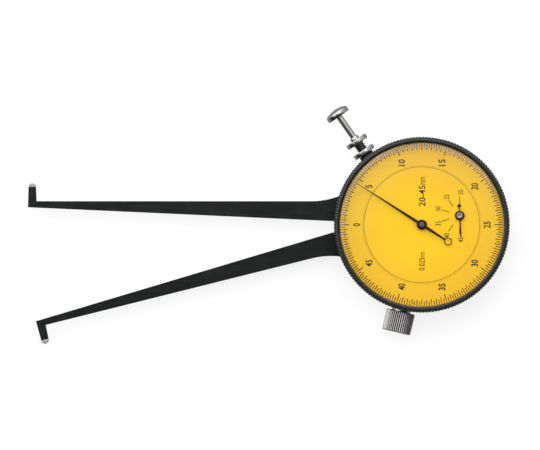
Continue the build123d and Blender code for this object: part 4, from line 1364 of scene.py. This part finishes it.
@dataclass
class PushAssembly:
    """The push rod with its domed button, and its threaded bush with two thin round nuts."""

    angle: float = 125.23
    offset: float = -1.45
    height: float = 5.1
    rod_radius: float = 0.9
    rod_start: float = 3.2
    disc_radius: float = 3.25
    button_floor: float = 38.3
    button_radius: float = 3.4
    button_top: float = 40.65
    nut_floor: float = 25.5
    nut_top: float = 26.8
    cap_floor: float = 29.0
    cap_top: float = 30.35
    collar_radius: float = 1.3
    collar_height: float = 0.9
    bush_start: float = 19.5
    bush_bore: float = 0.93
    thread_radius: float = 1.5
    thread_depth: float = 0.28
    thread_pitch: float = 0.75
    neck_start: float = 22.6
    neck_radius: float = 2.1
    neck_bore: float = 1.6
    sides: int = 72

    def lay(self, piece: Object) -> Object:
        """Lays an upright piece along the push axis.

        Args:
            piece: The piece, turned about +Z.

        Returns:
            The piece in its place.
        """
        outward = Vector((*polar(1.0, self.angle), 0.0))
        across = Vector((*polar(1.0, self.angle - 90.0), 0.0))
        origin = (across * self.offset + Vector((0.0, 0.0, self.height))) * MM
        upright = outward.cross(across)
        turn = Matrix((across, upright, outward)).transposed().to_4x4()
        piece.matrix_world = Matrix.Translation(origin) @ turn
        Bench.fix(piece)
        return piece

    def disc(self, name: str, floor: float, top: float, bore: float, collar: float = 0.0) -> Object:
        """Makes a thin round nut with a full edge.

        Args:
            name: Its name.
            floor: Where it starts along the axis.
            top: Where it ends.
            bore: Its bore's radius.
            collar: How far a small collar stands out of it.

        Returns:
            The nut.
        """
        rim = self.disc_radius
        rings = [
            (bore, floor),
            (rim - 0.3, floor),
            (rim - 0.12, floor + 0.04),
            (rim - 0.03, floor + 0.13),
            (rim, floor + 0.3),
            (rim, top - 0.3),
            (rim - 0.03, top - 0.13),
            (rim - 0.12, top - 0.04),
            (rim - 0.3, top),
        ]
        if collar:
            wide = self.collar_radius
            rings += [(wide, top), (wide, top + collar * 0.85), (wide - 0.1, top + collar)]
        rings.append((bore, top + collar))
        return Bench.lathe(name, rings, self.sides, True)

    def button(self) -> None:
        """Makes the button, with a soft rim and a low dome."""
        rim, floor, top = self.button_radius, self.button_floor, self.button_top
        rings = (
            (self.rod_radius - 0.05, floor + 0.02),
            (rim - 0.3, floor),
            (rim - 0.1, floor + 0.08),
            (rim, floor + 0.28),
            (rim, floor + 1.2),
            (rim - 0.08, floor + 1.42),
            (rim - 0.3, floor + 1.64),
            (rim - 0.75, floor + 1.86),
            (rim - 1.4, floor + 2.08),
            (rim - 2.1, floor + 2.23),
            (rim - 2.8, floor + 2.32),
            (0.0, top),
        )
        piece = self.lay(Bench.lathe("button_head", rings, self.sides))
        Bench.finish(piece, Finishes.CHROME, Body.PUSH_ROD, Slot.CHROME, ("push_button",), 50.0)

    def rod(self) -> None:
        """Makes the push rod, with its point and a fine turned line under the button."""
        rod, foot, head = self.rod_radius, self.rod_start, self.button_floor
        rings = (
            (0.12, foot),
            (rod, foot + 0.4),
            (rod, head - 0.3),
            (rod - 0.08, head - 0.24),
            (rod - 0.08, head - 0.12),
            (rod, head - 0.06),
            (rod, head + 1.5),
        )
        piece = self.lay(Bench.lathe("rod_shaft", rings, 48))
        Bench.finish(piece, Finishes.CHROME, Body.PUSH_ROD, Slot.CHROME, ("push_rod",))

    def bush(self) -> None:
        """Makes the guide bush, threaded between its nuts."""
        major, minor = self.thread_radius, self.thread_radius - self.thread_depth
        bore = self.bush_bore
        rings = [(bore, self.bush_start), (major, self.bush_start), (major, self.nut_top - 0.1)]
        turns = round((self.cap_floor - self.nut_top) / self.thread_pitch)
        pitch = (self.cap_floor - self.nut_top) / turns
        for turn in range(turns):
            place = self.nut_top + turn * pitch
            rings += [(minor, place + 0.12 * pitch), (minor, place + 0.3 * pitch)]
            rings += [(major, place + 0.62 * pitch), (major, place + 0.8 * pitch)]
        rings += [(major, self.cap_floor + 0.9), (bore, self.cap_floor + 0.9)]
        piece = self.lay(Bench.lathe("threaded_bush", rings, self.sides, True))
        Bench.finish(piece, Finishes.THREAD, Body.CASE, Slot.CHROME, ("guide_bush",))

    def nuts(self) -> None:
        """Makes the nut against the case and the cap nut at the bush's end."""
        nut = self.lay(self.disc("flat_nut", self.nut_floor, self.nut_top, self.thread_radius + 0.01))
        Bench.finish(nut, Finishes.CHROME, Body.CASE, Slot.CHROME, ("bush_nut",), 50.0)
        bore = self.rod_radius + 0.04
        cap = self.lay(self.disc("cap_nut", self.cap_floor, self.cap_top, bore, self.collar_height))
        Bench.finish(cap, Finishes.CHROME, Body.CASE, Slot.CHROME, ("bush_cap",), 50.0)

    def neck(self) -> None:
        """Makes the case's turned neck under the nut."""
        start, end = self.neck_start, self.nut_floor - 0.06
        bore, wide = self.neck_bore, self.neck_radius
        rings = ((bore, start), (wide, start), (wide, end - 0.25), (wide - 0.1, end), (bore, end))
        piece = self.lay(Bench.lathe("case_neck", rings, self.sides, True))
        Bench.finish(piece, Finishes.CASE, Body.CASE, Slot.BLACK)

    def build(self) -> None:
        """Makes the push assembly."""
        self.button()
        self.rod()
        self.bush()
        self.nuts()
        self.neck()


@dataclass
class ClampKnob:
    """The clamp screw, whose round head has a straight knurl."""

    angle: float = 256.5
    height: float = 4.6
    radius: float = 4.05
    start: float = 25.14
    end: float = 31.14
    thread_start: float = 19.6
    thread_radius: float = 1.5
    collar_start: float = 23.35
    collar_radius: float = 2.65
    edge: float = 0.2
    teeth: int = 42
    tooth: tuple[float, ...] = (0.0, 0.06, 0.6, 1.0, 0.6, 0.06)
    depth: float = 0.26

    def build(self) -> None:
        """Makes the screw, knurls its head and lays it in its place."""
        low, high = self.start + self.edge, self.end - self.edge
        heights = (low, low + 0.04, high - 0.04, high)
        grooved = [(self.radius, height, self.depth) for height in heights]
        rings = [
            (self.thread_radius - 0.3, self.thread_start),
            (self.thread_radius, self.thread_start + 0.3),
            (self.thread_radius, self.collar_start),
            (self.collar_radius, self.collar_start),
            (self.collar_radius, self.start),
            (self.radius - 0.3, self.start),
            *(ring[:2] for ring in grooved),
            (self.radius - 0.3, self.end),
            (self.radius - 1.0, self.end),
            (self.radius - 1.15, self.end - 0.12),
        ]
        piece = Bench.lathe("knurled_knob", rings, self.teeth * len(self.tooth))
        Bench.knurl(piece, grooved, self.teeth, self.tooth)
        outward = Vector((*polar(1.0, self.angle), 0.0))
        across = Vector((*polar(1.0, self.angle - 90.0), 0.0))
        turn = Matrix((across, outward.cross(across), outward)).transposed().to_4x4()
        piece.matrix_world = Matrix.Translation((0.0, 0.0, self.height * MM)) @ turn
        Bench.fix(piece)
        Bench.finish(piece, Finishes.KNOB, Body.CLAMP_SCREW, Slot.STEEL, ("clamp_screw",), 50.0)


@dataclass
class Mechanism:
    """The solids that stay as they are, each given its finish."""

    def dress(self, node: str, look: Finish) -> None:
        """Gives a CAD node its finish.

        Args:
            node: The node.
            look: Its finish.
        """
        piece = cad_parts[node]
        if piece.material_slots:
            for kept in piece.material_slots:
                kept.material = look.material()
        else:
            piece.data.materials.append(look.material())
        log.info("%s: solid kept, finish %s", node, look.name)

    def build(self) -> None:
        """Dresses every solid that nothing replaces."""
        looks = {
            Finishes.DIAL: ("inner_dial", "outer_dial"),
            Finishes.BRASS: ("gear_sector", "bridge_plate", "web_bushes", "counter_wheel", "take_up_wheel"),
            Finishes.SPRING: ("return_spring", "hairspring"),
            Finishes.STEEL: (
                "fixed_arm_screws",
                "pivot_screw",
                "bridge_screws",
                "arm_stop_pins",
                "hairspring_stud",
                "rod_ring",
                "sector_rivets",
                "counter_arbor",
                "centre_arbor",
                "take_up_arbor",
            ),
        }
        for look, nodes in looks.items():
            for node in nodes:
                self.dress(node, look)


@dataclass(frozen=True)
class Lamp:
    """A soft square lamp: its place and side in millimetres, its power in watts, and if metal shows it."""

    name: str
    place: Spot
    side: float
    power: float
    mirrored: bool


@dataclass
class Studio:
    """A pale floor, soft lamps, a world and the camera that looks straight down."""

    view_width: float = 152.24
    view_centre: Place = (-42.805, -0.07)
    camera_height: float = 400.0
    floor_size: float = 3000.0
    floor_glow: float = 0.81
    floor_sheen: float = 0.12
    floor_grey: Colour = (0.24, 0.24, 0.24, 1.0)
    light_side: float = 100.0
    aim: Spot = (-20.0, 0.0, 5.0)
    lamps: tuple[Lamp, ...] = (
        Lamp("left", (-640.0, 220.0, 640.0), 900.0, 2.7, True),
        Lamp("head", (20.0, 600.0, 720.0), 900.0, 3.2, True),
        Lamp("fill", (40.0, 80.0, 1000.0), 900.0, 4.6, False),
    )

    def camera(self) -> None:
        """Sets the camera over the gauge."""
        lens = bpy.data.cameras.new("camera")
        lens.type = "ORTHO"
        lens.ortho_scale = self.view_width * MM
        lens.clip_start, lens.clip_end = 0.01, 20.0
        seen = bpy.data.objects.new("camera", lens)
        seen.location = (self.view_centre[0] * MM, self.view_centre[1] * MM, self.camera_height * MM)
        bpy.context.scene.collection.objects.link(seen)
        bpy.context.scene.camera = seen

    def floor(self) -> None:
        """Lays a pale floor that keeps a soft shadow."""
        Bench.rest()
        bpy.ops.mesh.primitive_grid_add(x_subdivisions=4, y_subdivisions=4, size=self.floor_size * MM)
        piece = bpy.context.object
        piece.name = "floor"
        piece.location = (0.0, 0.0, -0.00003)
        shader = Shader(bpy.data.materials.new("floor_paper"))
        path = shader.node("ShaderNodeLightPath", output="Is Camera Ray")
        glossy = shader.node("ShaderNodeLightPath", output="Is Glossy Ray")
        through = shader.node("ShaderNodeLightPath", output="Is Transmission Ray")
        seen = path * self.floor_glow + (glossy + through) * self.floor_sheen
        paper = shader.node("ShaderNodeBsdfDiffuse", values={"Color": self.floor_grey})
        glow = shader.node("ShaderNodeEmission", values={"Color": (1.0, 1.0, 1.0, 1.0), "Strength": seen})
        shader.end(shader.node("ShaderNodeAddShader", values={0: paper, 1: glow}))
        piece.data.materials.append(shader.owner)

    def world(self) -> None:
        """Makes the room: white where the camera sees it, and darker to one side for the chrome."""
        room = bpy.data.worlds.new("room")
        bpy.context.scene.world = room
        shader = Shader(room)
        seen = shader.node("ShaderNodeLightPath", output="Is Camera Ray")
        way = shader.node("ShaderNodeTexCoord", output="Generated")
        side = Vector((*polar(1.0, self.light_side), 0.0))
        product = {"operation": "DOT_PRODUCT"}
        turned = shader.node("ShaderNodeVectorMath", product, {0: way, 1: side}, "Value")
        stops = (
            (0.3, (0.012, 0.012, 0.014, 1.0)),
            (0.47, (0.035, 0.035, 0.037, 1.0)),
            (0.5, (0.22, 0.22, 0.225, 1.0)),
            (0.53, (0.62, 0.62, 0.63, 1.0)),
            (1.0, (0.8, 0.8, 0.8, 1.0)),
        )
        grey = shader.node("ShaderNodeValToRGB", {"stops": stops}, {0: turned * 0.5 + 0.5})
        colour = shader.blend(seen, grey, (1.0, 1.0, 1.0, 1.0))
        shader.end(shader.node("ShaderNodeBackground", values={"Color": colour, "Strength": 1.0}))

    def hang(self, lamp: Lamp) -> None:
        """Hangs a lamp that faces the gauge.

        Args:
            lamp: The lamp.
        """
        light = bpy.data.lights.new(lamp.name, "AREA")
        light.shape = "SQUARE"
        light.size = lamp.side * MM
        light.energy = lamp.power
        hung = bpy.data.objects.new(lamp.name, light)
        hung.visible_glossy = lamp.mirrored
        hung.location = Vector(lamp.place) * MM
        aim = Vector(self.aim) * MM - hung.location
        hung.rotation_mode = "QUATERNION"
        hung.rotation_quaternion = aim.to_track_quat("-Z", "Y")
        bpy.context.scene.collection.objects.link(hung)

    def build(self) -> None:
        """Sets up the whole studio."""
        bpy.context.scene.view_settings.view_transform = "Standard"
        self.camera()
        self.floor()
        self.world()
        for lamp in self.lamps:
            self.hang(lamp)


def main() -> None:
    """Builds the studio and every sub-assembly, and logs each one as it is done."""
    outside = (Case(), Arms(), Bezel(), Dial(), Hands(), PushAssembly(), ClampKnob())
    for part in (Studio(), *outside, Mechanism()):
        part.build()
        log.info("%s done", type(part).__name__)
    Bench.rest()


if __name__ == "__main__":
    logging.basicConfig(level=logging.INFO, format="%(message)s")
    main()
